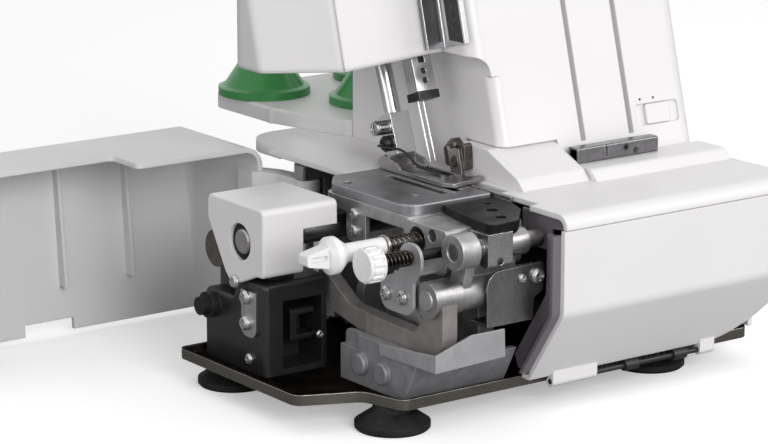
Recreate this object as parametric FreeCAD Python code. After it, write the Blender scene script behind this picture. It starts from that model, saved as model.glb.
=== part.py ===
import FreeCAD, Part
import math
import os

# Serger overlock machine, free-standing, with its side cover swung open.
# Millimetres. While building, X runs right, Y back and Z up from the table, and the zero point is the
# middle of the front left foot. The finished pieces are shifted to the middle of the footprint.

V = FreeCAD.Vector
AXIS_X = V(1, 0, 0)
AXIS_Y = V(0, 1, 0)
AXIS_Z = V(0, 0, 1)

# Fits and gaps
SEAM = 0.3            # gap between neighbouring covers
RUN = 0.05            # radial running fit of a shaft in its hole
SCREW_FIT = 0.05      # radial room of a screw shank in its hole

# Base plate and feet
PLATE_UNDER = 12.0    # underside of the base plate above the table
SHEET = 1.5           # base plate sheet
RIM = 5.0             # turned-up rim, sheet included
PLATE_LEFT = -40.0
PLATE_INSET = 1.0      # the right edge stands inside the end cover by this
PLATE_FRONT = -15.0
PLATE_REAR = 128.0
PLATE_REAR_LEFT = 118.0   # the rear edge steps forward at the left
PLATE_STEP_X = 50.0
FOOT_R = 17.5
FOOT_DISC = 3.5
FOOT_NECK_R = 8.5
FOOT_CONE_TOP = 9.0
FEET = [(0.0, 0.0), (-20.0, 100.0), (160.0, 8.0), (185.0, 106.0)]

# Main shaft, handwheel, motor and belt
SHAFT_Y = 76.8
SHAFT_Z = 75.8
SHAFT_R = 6.0
SHAFT_LEFT = -30.5
PULLEY_R = 15.0
PULLEY_LEFT = 168.0
PULLEY_WIDTH = 12.0
BELT_LEFT = 169.5
MOTOR_Y = 86.0
MOTOR_Z = 36.0
MOTOR_R = 20.0
MOTOR_LENGTH = 66.0
MOTOR_GAP = 10.0      # from the motor case to its pulley
MOTOR_LEFT = PULLEY_LEFT - MOTOR_GAP - MOTOR_LENGTH
MOTOR_SHAFT_R = 4.0
MOTOR_PULLEY_R = 8.0
BELT = 2.0
BELT_WIDTH = 9.0
HANDWHEEL_R = 24.0
HANDWHEEL_GAP = 3.0   # from the end cover to the handwheel
HANDWHEEL_WIDTH = 17.0
HANDWHEEL_GRIPS = 18
GRIP_R = 1.6

# Feed regulator shaft with its knob, and stitch length knob
REGULATOR_Y = 109.0
REGULATOR_Z = 65.0
REGULATOR_R = 3.5
REGULATOR_LEFT = -24.0
REGULATOR_DISC_R = 9.0
REGULATOR_DISC = 4.0
SIDE_KNOB_R = 9.0
SIDE_KNOB_LENGTH = 11.0
SIDE_KNOB_GRIPS = 12
LENGTH_KNOB_Y = 122.0
LENGTH_KNOB_Z = 38.0

# Main frame casting
WEB_Y = 114.0         # front face of the rear web
WEB = 12.0
FRAME_LEFT = 48.0
FRAME_RIGHT = 198.0
FRAME_BED_TOP = 45.0
FRAME_COLUMN_LEFT = 122.0
FRAME_ARM_LEFT = 86.0
FRAME_ARM_LOW = 212.0
FRAME_TOP = 250.0
BEARING_WALL = 8.0
LEFT_WALL_X = 62.0
BEARING_FRONT = 58.0
BEARING_TOP = 90.0
LOOPER_WALL_Y = 56.0
LOOPER_WALL = 6.0
LOOPER_WALL_LEFT = 24.0
LOOPER_WALL_RIGHT = 100.0
LOOPER_WALL_TOP = 56.0

# Feed housing, its cover and what is screwed to it
HOUSING_LEFT = -28.8
HOUSING_RIGHT = 5.5
HOUSING_FRONT = 60.0
HOUSING_REAR = 112.0
HOUSING_TOP = 58.0
HOUSING_REAR_TOP = 47.0
RECESS_LEFT = -19.0
RECESS_RIGHT = 3.0
RECESS_LOW = 16.0
RECESS_TOP = 49.0
RECESS_DEPTH = 20.0
PEDESTAL_LEFT = -22.0
PEDESTAL = 14.0
PEDESTAL_WALL = 6.0
COVER_WALL = 2.2
FEED_COVER_RIGHT = 10.0
FEED_COVER_TOP = 94.0
FEED_COVER_FRONT = 57.5
FEED_COVER_REAR = 104.8
NOTCH_X = -9.0        # the front of the feed cover is cut away right of here
NOTCH_Z = 82.5
SHAFT_WINDOW_R = 8.8

# Needle plate and front casting
NEEDLE_PLATE_TOP = 98.0
NEEDLE_PLATE = 5.0
NEEDLE_PLATE_LEFT = 18.0
NEEDLE_PLATE_RIGHT = 66.0
NEEDLE_PLATE_FRONT = 12.5
NEEDLE_PLATE_REAR = 85.0
DOG_ROWS = (47.5, 55.5)
DOG_WIDTH = 3.2
DOG_FRONT = 28.0
DOG_REAR = 64.0
DOG_TEETH = 12
DOG_SIDE_ROOM = 0.7
DOG_END_ROOM = 4.0
CASTING_LEFT = 18.0
CASTING_RIGHT = 61.0
CASTING_FRONT = -16.0
CASTING_TOP = 92.0
CASTING_LOW = 71.0
CASTING_WALL_FRONT = 4.0
CASTING_WALL_REAR = 16.0
RAIL_LEFT = 18.0
RAIL_RIGHT = 24.0
RAIL_LOW = 87.0

# Feed bar and loopers
FEED_BAR_LEFT = 44.0
FEED_BAR_RIGHT = 60.0
FEED_BAR_LOW = 84.0
FEED_BAR_TOP = 88.0
LOOPER_XS = (36.0, 88.0)
LOOPER_SHAFT_Z = 36.0
LOOPER_SHAFT_R = 4.0
LOWER_LOOPER_Y = 30.0
UPPER_LOOPER_Y = 38.0
LOOPER_BLADE = 5.0

# Grey looper housing plate
LOOPER_HOUSING_LEFT = 1.0
LOOPER_HOUSING = 5.0
LOOPER_HOUSING_RIGHT = 58.0

# Knife release knob and cutting width knob, both on axes along X
RELEASE_Y = 5.8
RELEASE_Z = 83.8
WIDTH_Y = -12.0
WIDTH_Z = 82.0
KNOB_SHAFT_R = 2.5
RELEASE_TIP = -44.7
RELEASE_SLEEVE = -27.0
RELEASE_SLEEVE_END = -1.5
RELEASE_SLEEVE_R = 4.3
RELEASE_FLANGE_R = 8.6
RELEASE_FLANGE = 3.0
RELEASE_WING = 5.4
RELEASE_WING_THICK = 7.0
RELEASE_HOLE_R = 6.2
RELEASE_HOLE_DEPTH = 13.0
WIDTH_KNOB_LEFT = -25.5
WIDTH_KNOB_RIGHT = -17.4
WIDTH_KNOB_R = 8.2
WIDTH_KNOB_RIBS = 14
WIDTH_SLEEVE_R = 2.5
BRACKET_X = 1.0
BRACKET = 1.5
BRACKET_ROOM = 1.0    # from the cutting width shaft to the bracket's foot
SPRING_WIRE = 0.9
RELEASE_SPRING_R = 3.6
RELEASE_SPRING_TURNS = 7
WIDTH_SPRING_R = 3.3
WIDTH_SPRING_TURNS = 8
SPRING_SEAT = 0.25    # room between a spring's end and its seat

# Knife shaft bracket, curved drive arm, knife shaft and clamp
PIVOT_Y = -20.5
PIVOT_Z = 63.4
PIVOT_R = 5.0
PIVOT_LEFT = 2.9
ARM_LEFT = 6.5
ARM_RIGHT = 14.5
ARM_HUB_R = 8.6
ARM_HUB_LENGTH = 15.5
ARM_HUB_LEFT = 3.5     # the hub stands out left of the arm
TUBE_R = 7.4
TUBE_RIGHT = 58.0
KNIFE_SHAFT_Y = -26.0
KNIFE_SHAFT_Z = 85.0
KNIFE_SHAFT_R = 4.0
BOSS_LEFT = 14.0
BOSS_RIGHT = 24.0
BOSS_R = 8.2
CLAMP_LEFT = 29.0
CLAMP_RIGHT = 43.0
CLAMP_HALF = 6.5
COLLAR_RIGHT = 53.5
COLLAR_R = 6.2
KNIFE_SHAFT_RIGHT = 63.0

# Sheet metal guards
GUARD_SHEET = 1.2
GUARD_Y = -31.0
CHIP_Y = -32.8

# Needles, needle bar, presser bar and foot, all on a lean
LEAN = 20.0
NEEDLE_BAR_X = 66.5
NEEDLE_BAR_Y = 67.0   # at the clamp's upper face
NEEDLE_BAR_Z = 136.5
NEEDLE_BAR_WIDE = 11.0
NEEDLE_BAR_DEEP = 8.0
NEEDLE_BAR_LENGTH = 108.0
NEEDLE_CLAMP_WIDE = 11.8
NEEDLE_CLAMP = 4.0
NEEDLE_R = 0.5
NEEDLE_REACH = 34.0
NEEDLE_BEHIND = 2.5   # needles stand behind the bar's middle
NEEDLE_PITCH = 3.0
PRESSER_X = 64.0
PRESSER_Y = 87.2
PRESSER_Z = 123.0
PRESSER_R = 4.0
PRESSER_LENGTH = 118.0
SHANK_LENGTH = 20.0
SHANK_WIDE = 11.0
SHANK_DEEP = 10.0
SOLE = 1.9
SOLE_LIFT = 0.4
FOOT_SOLE_LEFT = 53.0
FOOT_SOLE_RIGHT = 70.6
FOOT_TOE = 77.2
GUIDE_LOW = 205.0
GUIDE_TOP = 243.0
GUIDE_LEFT = 50.0
LEVER_Y = 132.0
LEVER_Z = 190.0
LEVER_PIN_R = 3.0
LEVER_X = 78.0
LEVER_THICK = 6.0

# Head, column and lower covers
COLUMN_LEFT = 85.0
BODY_RIGHT = 206.0
BODY_REAR = 150.0
BODY_TOP = 285.0
BED_LEVEL = 98.0
COVER = 2.5           # wall of the large covers
FRONT_LEAN = 15.0
COLUMN_FRONT = 25.0   # at bed level
HEAD_FRONT = 49.0     # the head's front plane, measured down to bed level
HEAD_LEFT = -9.0
HEAD_SEAM = 19.0
STEP_X = 76.0         # the column front stands forward of the head right of here
STEP_TURN = 3.0       # rounding in the corner of that step
HEAD_PANEL_Y = 78.0   # the slanted face panel ends here at bed level
HEAD_REAR_LEFT = 113.0
HEAD_REAR_X = 34.0
HEAD_LOW = 150.0
HEAD_LOW_RIGHT = 156.0
PARTING_Y = 118.0
SLOT_XS = (134.0, 164.0)
SLOT_WIDTH = 3.0
SLOT_LOW = 111.0
SLOT_DEPTH = 7.0
SLOT_WALL = 1.2
DIAL_XS = (104.0, 134.0, 164.0, 194.0)
DIAL_Z = 238.0
DIAL_R = 13.0
DIAL_WIDTH = 9.0
DIAL_PROUD = 5.0
DIAL_RIBS = 20
DIAL_AXLE_R = 2.5
DIAL_ARM = 6.0
DIAL_ARMS = (115.0, 178.0)
SELECTOR_X = 182.0
SELECTOR_Z = 118.5
SELECTOR_WIDE = 27.0
SELECTOR_TALL = 10.4
SELECTOR_RECESS = 1.3    # depth of the recess in the wall
SELECTOR_FINGER = 7.5    # half the width of the finger piece
SELECTOR_TRAVEL = 3.0    # to either side
UPPER_KNIFE_Y = 50.0
UPPER_KNIFE_Z = 107.0
UPPER_KNIFE_LEFT = 73.0
LOWER_KNIFE_X = 67.0
GUARD_LEFT = 78.0
GUARD_RIGHT = 118.0
GUARD_TOP = 113.0
GUARD_REAR = 57.0
GUIDE_PLATE_LOW = 67.0   # along the leaning front from bed level
GUIDE_PLATE_TOP = 118.0
GUIDE_PLATE = 1.2
THREAD_BAR_LEFT = 121.0
THREAD_BAR_RIGHT = 171.0
THREAD_BAR_Y = 17.0
THREAD_BAR_Z = 103.0
THREAD_BAR_TALL = 7.6
THREAD_BAR_DEEP = 7.0
THREAD_BAR_WALL = 1.0
RIDGE_LEFT = 119.0
RIDGE_FRONT = -1.0
RIDGE_REAR = 24.5
RIDGE_TOP = 103.0
BED_PARTING = 91.3    # lower edge of the bed cover's rounded front
BED_LEFT = 64.0
BED_GAP_RIGHT = 74.0  # the knives work in the gap left of here
LOWER_EDGE = 17.5     # lower edge of the end and rear covers
BED_REAR = 110.0
REAR_LEFT = 57.0
REAR_BED_LEFT = 34.0
INLET = (127.5, 146.5, 20.0, 34.0)
INLET_DEPTH = 14.0
SWITCH_Y = 130.5
SWITCH_WIDE = 11.0
SWITCH_Z = 80.0
SWITCH_HALF = 9.5

# Looper cover, lining and hinge
LOOPER_LEFT = 62.7
END_FRONT = -15.0     # front edge of the right end plate
LOOPER_FACE = -45.0
LOOPER_TOP = 91.0
LOOPER_BREAK = 52.0
LOOPER_LIP_Y = -20.5
LOOPER_LIP_Z = 16.0
LINING = 2.0
LINING_LEFT = 58.0
ROD_Y = -20.0
ROD_Z = 13.0
ROD_R = 1.3
LUG_R = 2.4
HINGE_BLOCK_R = 2.6
LUGS = ((75.5, 102.0), (166.0, 175.0))
HINGE_BLOCKS = ((120.0, 128.0), (150.0, 158.0))
LOOPER_CORNER = 38.0  # rounding of the lower right corner
RIB_LEFT = 108.0      # ribbed strip on the base plate's front edge
RIB_RIGHT = 164.0
RIB_PITCH = 3.5
RIB_LOW = 10.8
RIB_PROUD = 1.2

# Side cover, drawn swung open, and its hinge
HINGE_X = 44.0
HINGE_Y = 131.0
PIN_R = 3.0
KNUCKLE_R = 6.0
SIDE_FAR = 227.0      # outer wall
SIDE_NEAR_WIDE = 158.5
SIDE_NEAR_NARROW = 182.0
SIDE_STEP_X = -36.0
SIDE_END = 36.0
SIDE_TIP = -126.0
SIDE_LOW = 3.0
SIDE_DRAFT = 7.0      # the wall draws in this much at its lower edge
SIDE_RIBS = (-46.0, -7.0, -96.0)
SIDE_RIB = 2.0
SIDE_RIB_LOW = 26.0
KNUCKLES = ((25.5, 37.0), (74.0, 85.5))
HINGE_LUG = 7.0

# Spool tray, cone holders and thread stand
TRAY_LEFT = 69.5
TRAY_RIGHT = 225.0
TRAY_REAR = 260.0
TRAY_BEND_Y = 201.0   # the left side draws in from here to the front
TRAY_FRONT_LEFT = 82.5
TRAY_TOP = 106.0
TRAY_WALL = 2.5
LEDGE_LEFT = 40.0     # ledge of the rear cover under the tray
LEDGE_RIGHT = 198.0
LEDGE_REAR = 184.0
LEDGE_LOW = 92.5
SPOOLS = [(89.0, 235.5), (122.0, 182.0), (162.0, 235.5), (195.0, 182.0)]
CONE_R = 24.0
CONE_RIM = 4.0
CONE_WAIST_R = 13.0
CONE_WAIST = 17.0
CONE_TIP_R = 6.5
CONE_HEIGHT = 58.0
SPOOL_PIN_R = 2.5
SPOOL_PIN = 66.0
MAST_X = 143.5
MAST_Y = 209.0
MAST_R = 4.5
MAST_BORE = 3.5
MAST_HEIGHT = 150.0
POLE_R = 3.4
POLE_TOP = 268.0
BAR_HALF = 78.0
EYE_R = 2.5


def spot(plane, u, v, level):
    """Point on a plane square to one axis: x takes (y, z), y takes (x, z), z takes (x, y)."""
    if plane == "x":
        return V(level, u, v)
    if plane == "y":
        return V(u, level, v)
    return V(u, v, level)


def axis_of(plane):
    return {"x": AXIS_X, "y": AXIS_Y, "z": AXIS_Z}[plane]


def outline(plane, corners, level):
    """Closed wire through corners (u, v) or (u, v, radius), each rounded by its own radius."""
    runs = []
    count = len(corners)
    for i, corner in enumerate(corners):
        here = spot(plane, corner[0], corner[1], level)
        radius = corner[2] if len(corner) > 2 else 0.0
        if radius == 0.0:
            runs.append((here, here, here))
            continue
        before = spot(plane, corners[i - 1][0], corners[i - 1][1], level)
        after = spot(plane, corners[(i + 1) % count][0], corners[(i + 1) % count][1], level)
        to_before = (before - here).normalize()
        to_after = (after - here).normalize()
        half = to_before.getAngle(to_after) / 2.0
        middle = (to_before + to_after).normalize()
        start = here + to_before * (radius / math.tan(half))
        end = here + to_after * (radius / math.tan(half))
        runs.append((start, here + middle * (radius / math.sin(half) - radius), end))
    edges = []
    for i, (start, through, end) in enumerate(runs):
        last = runs[i - 1][2]
        if (start - last).Length > 1e-6:
            edges.append(Part.LineSegment(last, start).toShape())
        if (end - start).Length > 1e-6:
            edges.append(Part.Arc(start, through, end).toShape())
    return Part.Wire(edges)


def prism(plane, corners, low, high):
    """Rounded outline drawn square to one axis and pulled along it."""
    face = Part.Face(outline(plane, corners, low))
    return face.extrude(axis_of(plane) * (high - low))


def block(x0, x1, y0, y1, z0, z1):
    return Part.makeBox(x1 - x0, y1 - y0, z1 - z0, V(x0, y0, z0))


def rod(plane, u, v, radius, low, high):
    """Cylinder along one axis between two levels."""
    return Part.makeCylinder(radius, high - low, spot(plane, u, v, low), axis_of(plane))


def joined(shapes):
    return shapes[0].multiFuse(shapes[1:]).removeSplitter()


def less(shape, tools):
    return shape.cut(Part.makeCompound(tools))


def aimed(shape, point, direction):
    """Shape drawn along +Z at the zero point, turned to a direction and set at a point."""
    copy = shape.copy()
    copy.Placement = FreeCAD.Placement(point, FreeCAD.Rotation(AXIS_Z, direction))
    return copy


def ribbed(plane, u, v, radius, low, high, ribs, depth):
    """Disc with round grip grooves along its rim."""
    body = rod(plane, u, v, radius, low, high)
    grooves = []
    for i in range(ribs):
        turn = 2.0 * math.pi * i / ribs
        gu = u + radius * math.cos(turn)
        gv = v + radius * math.sin(turn)
        grooves.append(rod(plane, gu, gv, depth, low - 1.0, high + 1.0))
    return less(body, grooves)


def screw(point, direction, head_r, head, shank):
    """Pan head screw: the head stands on the point, the shank goes in behind it."""
    top = joined([Part.makeCylinder(head_r, head * 0.5),
                  Part.makeCone(head_r, head_r * 0.7, head * 0.5, V(0, 0, head * 0.5))])
    arm = head_r * 0.6
    wide = head_r * 0.16
    cross = [Part.makeBox(2 * arm, 2 * wide, head, V(-arm, -wide, head * 0.45)),
             Part.makeBox(2 * wide, 2 * arm, head, V(-wide, -arm, head * 0.45))]
    stem = Part.makeCylinder(head_r * 0.5, shank, V(0, 0, -shank))
    return aimed(joined([less(top, cross), stem]), point, direction)


def screw_hole(point, direction, head_r, shank):
    hole = Part.makeCylinder(head_r * 0.5 + SCREW_FIT, shank + 1.0, V(0, 0, -shank - 0.5))
    return aimed(hole, point, direction)


def helix_points(radius, pitch, turns, start_x, y, z):
    """Quarter turn stations of a coil along X, with the unit tangent at each."""
    stations = []
    for i in range(4 * turns + 1):
        turn = i * math.pi / 2.0
        point = V(start_x + pitch * i / 4.0, y + radius * math.cos(turn), z + radius * math.sin(turn))
        tangent = V(pitch / (2.0 * math.pi), -radius * math.sin(turn), radius * math.cos(turn))
        stations.append((point, tangent.normalize()))
    return stations


def arc_between(start, corner, end):
    """Arc whose end tangents meet at the corner, an equal way from both ends."""
    middle = (start + end) * 0.5
    rise = corner - middle
    half = (end - start).Length / 2.0
    sagitta = half * math.tan(math.atan2(rise.Length, half) / 2.0)
    return Part.Arc(start, middle + rise.normalize() * sagitta, end).toShape()


def coil(name, radius, wire, turns, left, right, y, z):
    """Compression spring along X: one tube on biarcs of a quarter turn with straight ends."""
    pitch = (right - left - wire) / turns
    stations = helix_points(radius, pitch, turns, left + wire / 2.0, y, z)
    first, first_way = stations[0]
    last, last_way = stations[-1]
    edges = [Part.LineSegment(first - first_way * wire, first).toShape()]
    for (p0, t0), (p1, t1) in zip(stations, stations[1:]):
        chord = p1 - p0
        both = t0 + t1
        a = 2.0 * (t0.dot(t1) - 1.0)
        b = -2.0 * chord.dot(both)
        c = chord.dot(chord)
        reach = (-b - math.sqrt(b * b - 4.0 * a * c)) / (2.0 * a)
        q0 = p0 + t0 * reach
        q1 = p1 - t1 * reach
        join = (q0 + q1) * 0.5
        edges.append(arc_between(p0, q0, join))
        edges.append(arc_between(join, q1, p1))
    edges.append(Part.LineSegment(last, last + last_way * wire).toShape())
    path = Part.Wire(edges)
    section = Part.Wire(Part.makeCircle(wire / 2.0, first - first_way * wire, first_way))
    tube = path.makePipeShell([section], True, False)
    points = path.discretize(Number=turns * 40)
    apart = len(points) // turns // 2
    least = min((p - q).Length for i, p in enumerate(points) for q in points[i + apart:]) - wire
    print(name, "least gap to itself", round(least, 2))
    return tube


def leaning(point, along):
    """Point reached by going up a leaning bar by a length."""
    lean = math.radians(LEAN)
    return point + V(0, math.sin(lean), math.cos(lean)) * along


LEAN_WAY = V(0, math.sin(math.radians(LEAN)), math.cos(math.radians(LEAN)))
NEEDLE_FOOT = V(NEEDLE_BAR_X, NEEDLE_BAR_Y, NEEDLE_BAR_Z)
PRESSER_FOOT = V(PRESSER_X, PRESSER_Y, PRESSER_Z)


def leaning_block(foot, wide, deep, low, high):
    """Rectangular bar along the lean, between two lengths from its foot."""
    bar = Part.makeBox(wide, deep, high - low, V(-wide / 2.0, -deep / 2.0, low))
    bar.Placement = FreeCAD.Placement(foot, FreeCAD.Rotation(AXIS_X, -LEAN))
    return bar


def leaning_rod(foot, radius, low, high):
    return Part.makeCylinder(radius, high - low, leaning(foot, low), LEAN_WAY)


DECK = PLATE_UNDER + SHEET
PLATE_RIGHT = BODY_RIGHT - PLATE_INSET
HANDWHEEL_LEFT = BODY_RIGHT + HANDWHEEL_GAP
SHAFT_RIGHT = HANDWHEEL_LEFT + HANDWHEEL_WIDTH
NEEDLE_PLATE_LOW = NEEDLE_PLATE_TOP - NEEDLE_PLATE
RIGHT_WALL_X = FRAME_RIGHT - BEARING_WALL
END_COVER_X = BODY_RIGHT - COVER
FRONT_SLOPE = math.tan(math.radians(FRONT_LEAN))
DIAL_FACE_Y = COLUMN_FRONT + (DIAL_Z - BED_LEVEL) * FRONT_SLOPE
DIAL_Y = DIAL_FACE_Y + (DIAL_R - DIAL_PROUD) / math.cos(math.radians(FRONT_LEAN))


def plate_corners(inset):
    """Base plate outline, drawn in by an inset, with the front left corner cut back round its foot."""
    return [(PLATE_LEFT + inset, PLATE_REAR_LEFT - inset, 4.0 - inset),
            (PLATE_LEFT + inset, 20.0 + inset * 0.6, 6.0 - inset),
            (-11.0 + inset * 0.6, 7.5 + inset * 0.6, 8.0 + inset),
            (-5.0 + inset, PLATE_FRONT + inset, 6.0 - inset),
            (PLATE_RIGHT - inset, PLATE_FRONT + inset, 6.0 - inset),
            (PLATE_RIGHT - inset, PLATE_REAR - inset, 6.0 - inset),
            (PLATE_STEP_X + inset, PLATE_REAR - inset, 4.0 - inset),
            (PLATE_STEP_X + inset, PLATE_REAR_LEFT - inset, 4.0 + inset)]


def base_plate():
    tray = prism("z", plate_corners(0.0), PLATE_UNDER, PLATE_UNDER + RIM)
    return tray.cut(prism("z", plate_corners(SHEET), DECK, PLATE_UNDER + RIM + 1.0))


def rubber_feet():
    profile = [V(0, 0, 0), V(FOOT_R - 1.0, 0, 0), V(FOOT_R, 0, 1.0), V(FOOT_R, 0, FOOT_DISC),
               V(FOOT_NECK_R + 1.0, 0, FOOT_CONE_TOP), V(FOOT_NECK_R, 0, PLATE_UNDER),
               V(0, 0, PLATE_UNDER), V(0, 0, 0)]
    foot = Part.Face(Part.makePolygon(profile)).revolve(V(0, 0, 0), AXIS_Z, 360)
    return Part.makeCompound([foot.translated(V(x, y, 0)) for x, y in FEET])


def frame_casting():
    """C-shaped web with bearing walls for the main shaft and a wall for the looper shafts."""
    over_rim = PLATE_UNDER + RIM + 1.0
    web = prism("y", [(FRAME_LEFT, over_rim), (FRAME_LEFT + 8, over_rim), (FRAME_LEFT + 8, DECK),
                      (FRAME_RIGHT, DECK), (FRAME_RIGHT, FRAME_BED_TOP + 30, 6),
                      (FRAME_RIGHT - 12, FRAME_BED_TOP + 45, 6), (FRAME_RIGHT - 12, FRAME_TOP, 10),
                      (FRAME_ARM_LEFT, FRAME_TOP, 4), (FRAME_ARM_LEFT, FRAME_ARM_LOW, 4),
                      (FRAME_COLUMN_LEFT, FRAME_ARM_LOW - 14, 16),
                      (FRAME_COLUMN_LEFT, FRAME_BED_TOP, 16), (FRAME_LEFT, FRAME_BED_TOP, 4)],
                WEB_Y, WEB_Y + WEB)
    wall = [(BEARING_FRONT, DECK), (WEB_Y + 1.0, DECK), (WEB_Y + 1.0, BEARING_TOP - 12, 6),
            (SHAFT_Y + 14, BEARING_TOP, 8), (BEARING_FRONT, BEARING_TOP, 8)]
    left = prism("x", wall, LEFT_WALL_X, LEFT_WALL_X + BEARING_WALL)
    right = prism("x", wall, RIGHT_WALL_X, FRAME_RIGHT)
    looper_wall = prism("y", [(LOOPER_WALL_LEFT, DECK), (LOOPER_WALL_RIGHT, DECK),
                              (LOOPER_WALL_RIGHT, LOOPER_WALL_TOP, 10),
                              (LOOPER_WALL_LEFT, LOOPER_WALL_TOP, 10)],
                        LOOPER_WALL_Y, LOOPER_WALL_Y + LOOPER_WALL)
    ledge = prism("y", [(FEED_BAR_LEFT, FEED_BAR_LOW - SEAM), (FEED_BAR_LEFT, FEED_BAR_LOW - SEAM - 4.0, 2),
                        (LEFT_WALL_X + 1.0, FEED_BAR_LOW - SEAM - 12.0),
                        (LEFT_WALL_X + 1.0, FEED_BAR_LOW - SEAM)],
                  BEARING_FRONT, BEARING_FRONT + 8.0)
    arms = [block(x, x + DIAL_ARM, DIAL_Y - 2.5, WEB_Y + 1, DIAL_Z - 4, DIAL_Z + 4) for x in DIAL_ARMS]
    axle = rod("x", DIAL_Y, DIAL_Z, DIAL_AXLE_R, DIAL_XS[0] - DIAL_WIDTH,
               DIAL_XS[-1] + DIAL_WIDTH / 2.0 + 1.5)
    body = joined([web, left, right, looper_wall, ledge, axle] + arms)
    bush = SHAFT_R + RUN
    holes = [rod("x", SHAFT_Y, SHAFT_Z, bush, LEFT_WALL_X - 1, LEFT_WALL_X + BEARING_WALL + 1),
             rod("x", SHAFT_Y, SHAFT_Z, bush, RIGHT_WALL_X - 1, FRAME_RIGHT + 1),
             rod("x", REGULATOR_Y, REGULATOR_Z, REGULATOR_R + RUN, LEFT_WALL_X - 1, FRAME_RIGHT + 1),
             rod("x", LENGTH_KNOB_Y, LENGTH_KNOB_Z, REGULATOR_R + RUN, FRAME_RIGHT - 14, FRAME_RIGHT + 1)]
    for x in LOOPER_XS:
        holes.append(rod("y", x, LOOPER_SHAFT_Z, LOOPER_SHAFT_R + RUN, LOOPER_WALL_Y - 1,
                         LOOPER_WALL_Y + 8))
    return less(body, holes)


def main_shaft():
    """Main shaft with chamfered ends and the belt pulley on it."""
    shaft = rod("x", SHAFT_Y, SHAFT_Z, SHAFT_R, SHAFT_LEFT, SHAFT_RIGHT)
    ends = [e for e in shaft.Edges if e.BoundBox.XLength < 1e-6]
    return joined([shaft.makeChamfer(0.8, ends), belt_pulley(SHAFT_Y, SHAFT_Z, PULLEY_R, PULLEY_LEFT)])


def belt_pulley(y, z, radius, left):
    """Flanged pulley with a flat running face."""
    wheel = rod("x", y, z, radius, left, left + PULLEY_WIDTH)
    rims = [rod("x", y, z, radius + BELT + 1.0, left, left + 1.2),
            rod("x", y, z, radius + BELT + 1.0, left + PULLEY_WIDTH - 1.2, left + PULLEY_WIDTH)]
    return joined([wheel] + rims)


def drive_belt():
    """Flat belt round both pulleys: outer loop less inner loop."""
    gap = V(0, MOTOR_Y - SHAFT_Y, MOTOR_Z - SHAFT_Z)
    turn = math.acos((PULLEY_R - MOTOR_PULLEY_R) / gap.Length)
    base = math.atan2(gap.z, gap.y)

    def loop(extra):
        big = PULLEY_R + extra
        small = MOTOR_PULLEY_R + extra
        points = []
        for y, z, radius, angles in ((SHAFT_Y, SHAFT_Z, big, (base + turn, base + math.pi, base - turn)),
                                     (MOTOR_Y, MOTOR_Z, small, (base - turn, base, base + turn))):
            points.append([spot("x", y + radius * math.cos(a), z + radius * math.sin(a), BELT_LEFT)
                           for a in angles])
        (a0, a1, a2), (b0, b1, b2) = points
        edges = [Part.Arc(a0, a1, a2).toShape(), Part.LineSegment(a2, b0).toShape(),
                 Part.Arc(b0, b1, b2).toShape(), Part.LineSegment(b2, a0).toShape()]
        return Part.Face(Part.Wire(edges)).extrude(AXIS_X * BELT_WIDTH)

    return loop(RUN + BELT).cut(loop(RUN))


def motor():
    case = rod("x", MOTOR_Y, MOTOR_Z, MOTOR_R, MOTOR_LEFT, MOTOR_LEFT + MOTOR_LENGTH)
    case = case.makeFillet(3.0, [e for e in case.Edges if e.BoundBox.XLength < 1e-6])
    foot = prism("x", [(MOTOR_Y - 15, DECK), (MOTOR_Y + 15, DECK), (MOTOR_Y + 11, MOTOR_Z - 10),
                       (MOTOR_Y - 11, MOTOR_Z - 10)], MOTOR_LEFT + 8, MOTOR_LEFT + MOTOR_LENGTH - 8)
    nose = rod("x", MOTOR_Y, MOTOR_Z, 8.0, MOTOR_LEFT + MOTOR_LENGTH - 1, MOTOR_LEFT + MOTOR_LENGTH + 4)
    bore = rod("x", MOTOR_Y, MOTOR_Z, MOTOR_SHAFT_R + RUN, MOTOR_LEFT + 30, MOTOR_LEFT + MOTOR_LENGTH + 5)
    return joined([case, foot, nose]).cut(bore)


def motor_pulley():
    shaft = rod("x", MOTOR_Y, MOTOR_Z, MOTOR_SHAFT_R, MOTOR_LEFT + 31, PULLEY_LEFT + PULLEY_WIDTH)
    return joined([belt_pulley(MOTOR_Y, MOTOR_Z, MOTOR_PULLEY_R, PULLEY_LEFT), shaft])


def handwheel():
    wheel = ribbed("x", SHAFT_Y, SHAFT_Z, HANDWHEEL_R, HANDWHEEL_LEFT, HANDWHEEL_LEFT + HANDWHEEL_WIDTH,
                   HANDWHEEL_GRIPS, GRIP_R)
    right = HANDWHEEL_LEFT + HANDWHEEL_WIDTH
    dish = Part.makeCone(HANDWHEEL_R - 10, HANDWHEEL_R - 5, 5.0, spot("x", SHAFT_Y, SHAFT_Z, right - 4),
                         AXIS_X)
    hub = rod("x", SHAFT_Y, SHAFT_Z, SHAFT_R + 4, right - 5, right)
    bore = rod("x", SHAFT_Y, SHAFT_Z, SHAFT_R + RUN, HANDWHEEL_LEFT - 1, SHAFT_RIGHT + RUN)
    return less(joined([wheel.cut(dish), hub]), [bore])


def side_knob(y, z, stem_left):
    """Ribbed dial on the right end cover, with a pointer ridge and its stem."""
    left = BODY_RIGHT + SEAM
    right = left + SIDE_KNOB_LENGTH
    knob = ribbed("x", y, z, SIDE_KNOB_R, left, right, SIDE_KNOB_GRIPS, 1.0)
    pointer = block(right - 0.5, right + 1.0, y - 1.0, y + 1.0, z, z + SIDE_KNOB_R - 2.0)
    return joined([knob, pointer, rod("x", y, z, REGULATOR_R, stem_left, left + 1)])


def differential_knob():
    """Differential feed knob on its long shaft, which ends in a steel disc at the left."""
    disc = rod("x", REGULATOR_Y, REGULATOR_Z, REGULATOR_DISC_R, REGULATOR_LEFT,
               REGULATOR_LEFT + REGULATOR_DISC)
    return joined([side_knob(REGULATOR_Y, REGULATOR_Z, REGULATOR_LEFT), disc])


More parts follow.
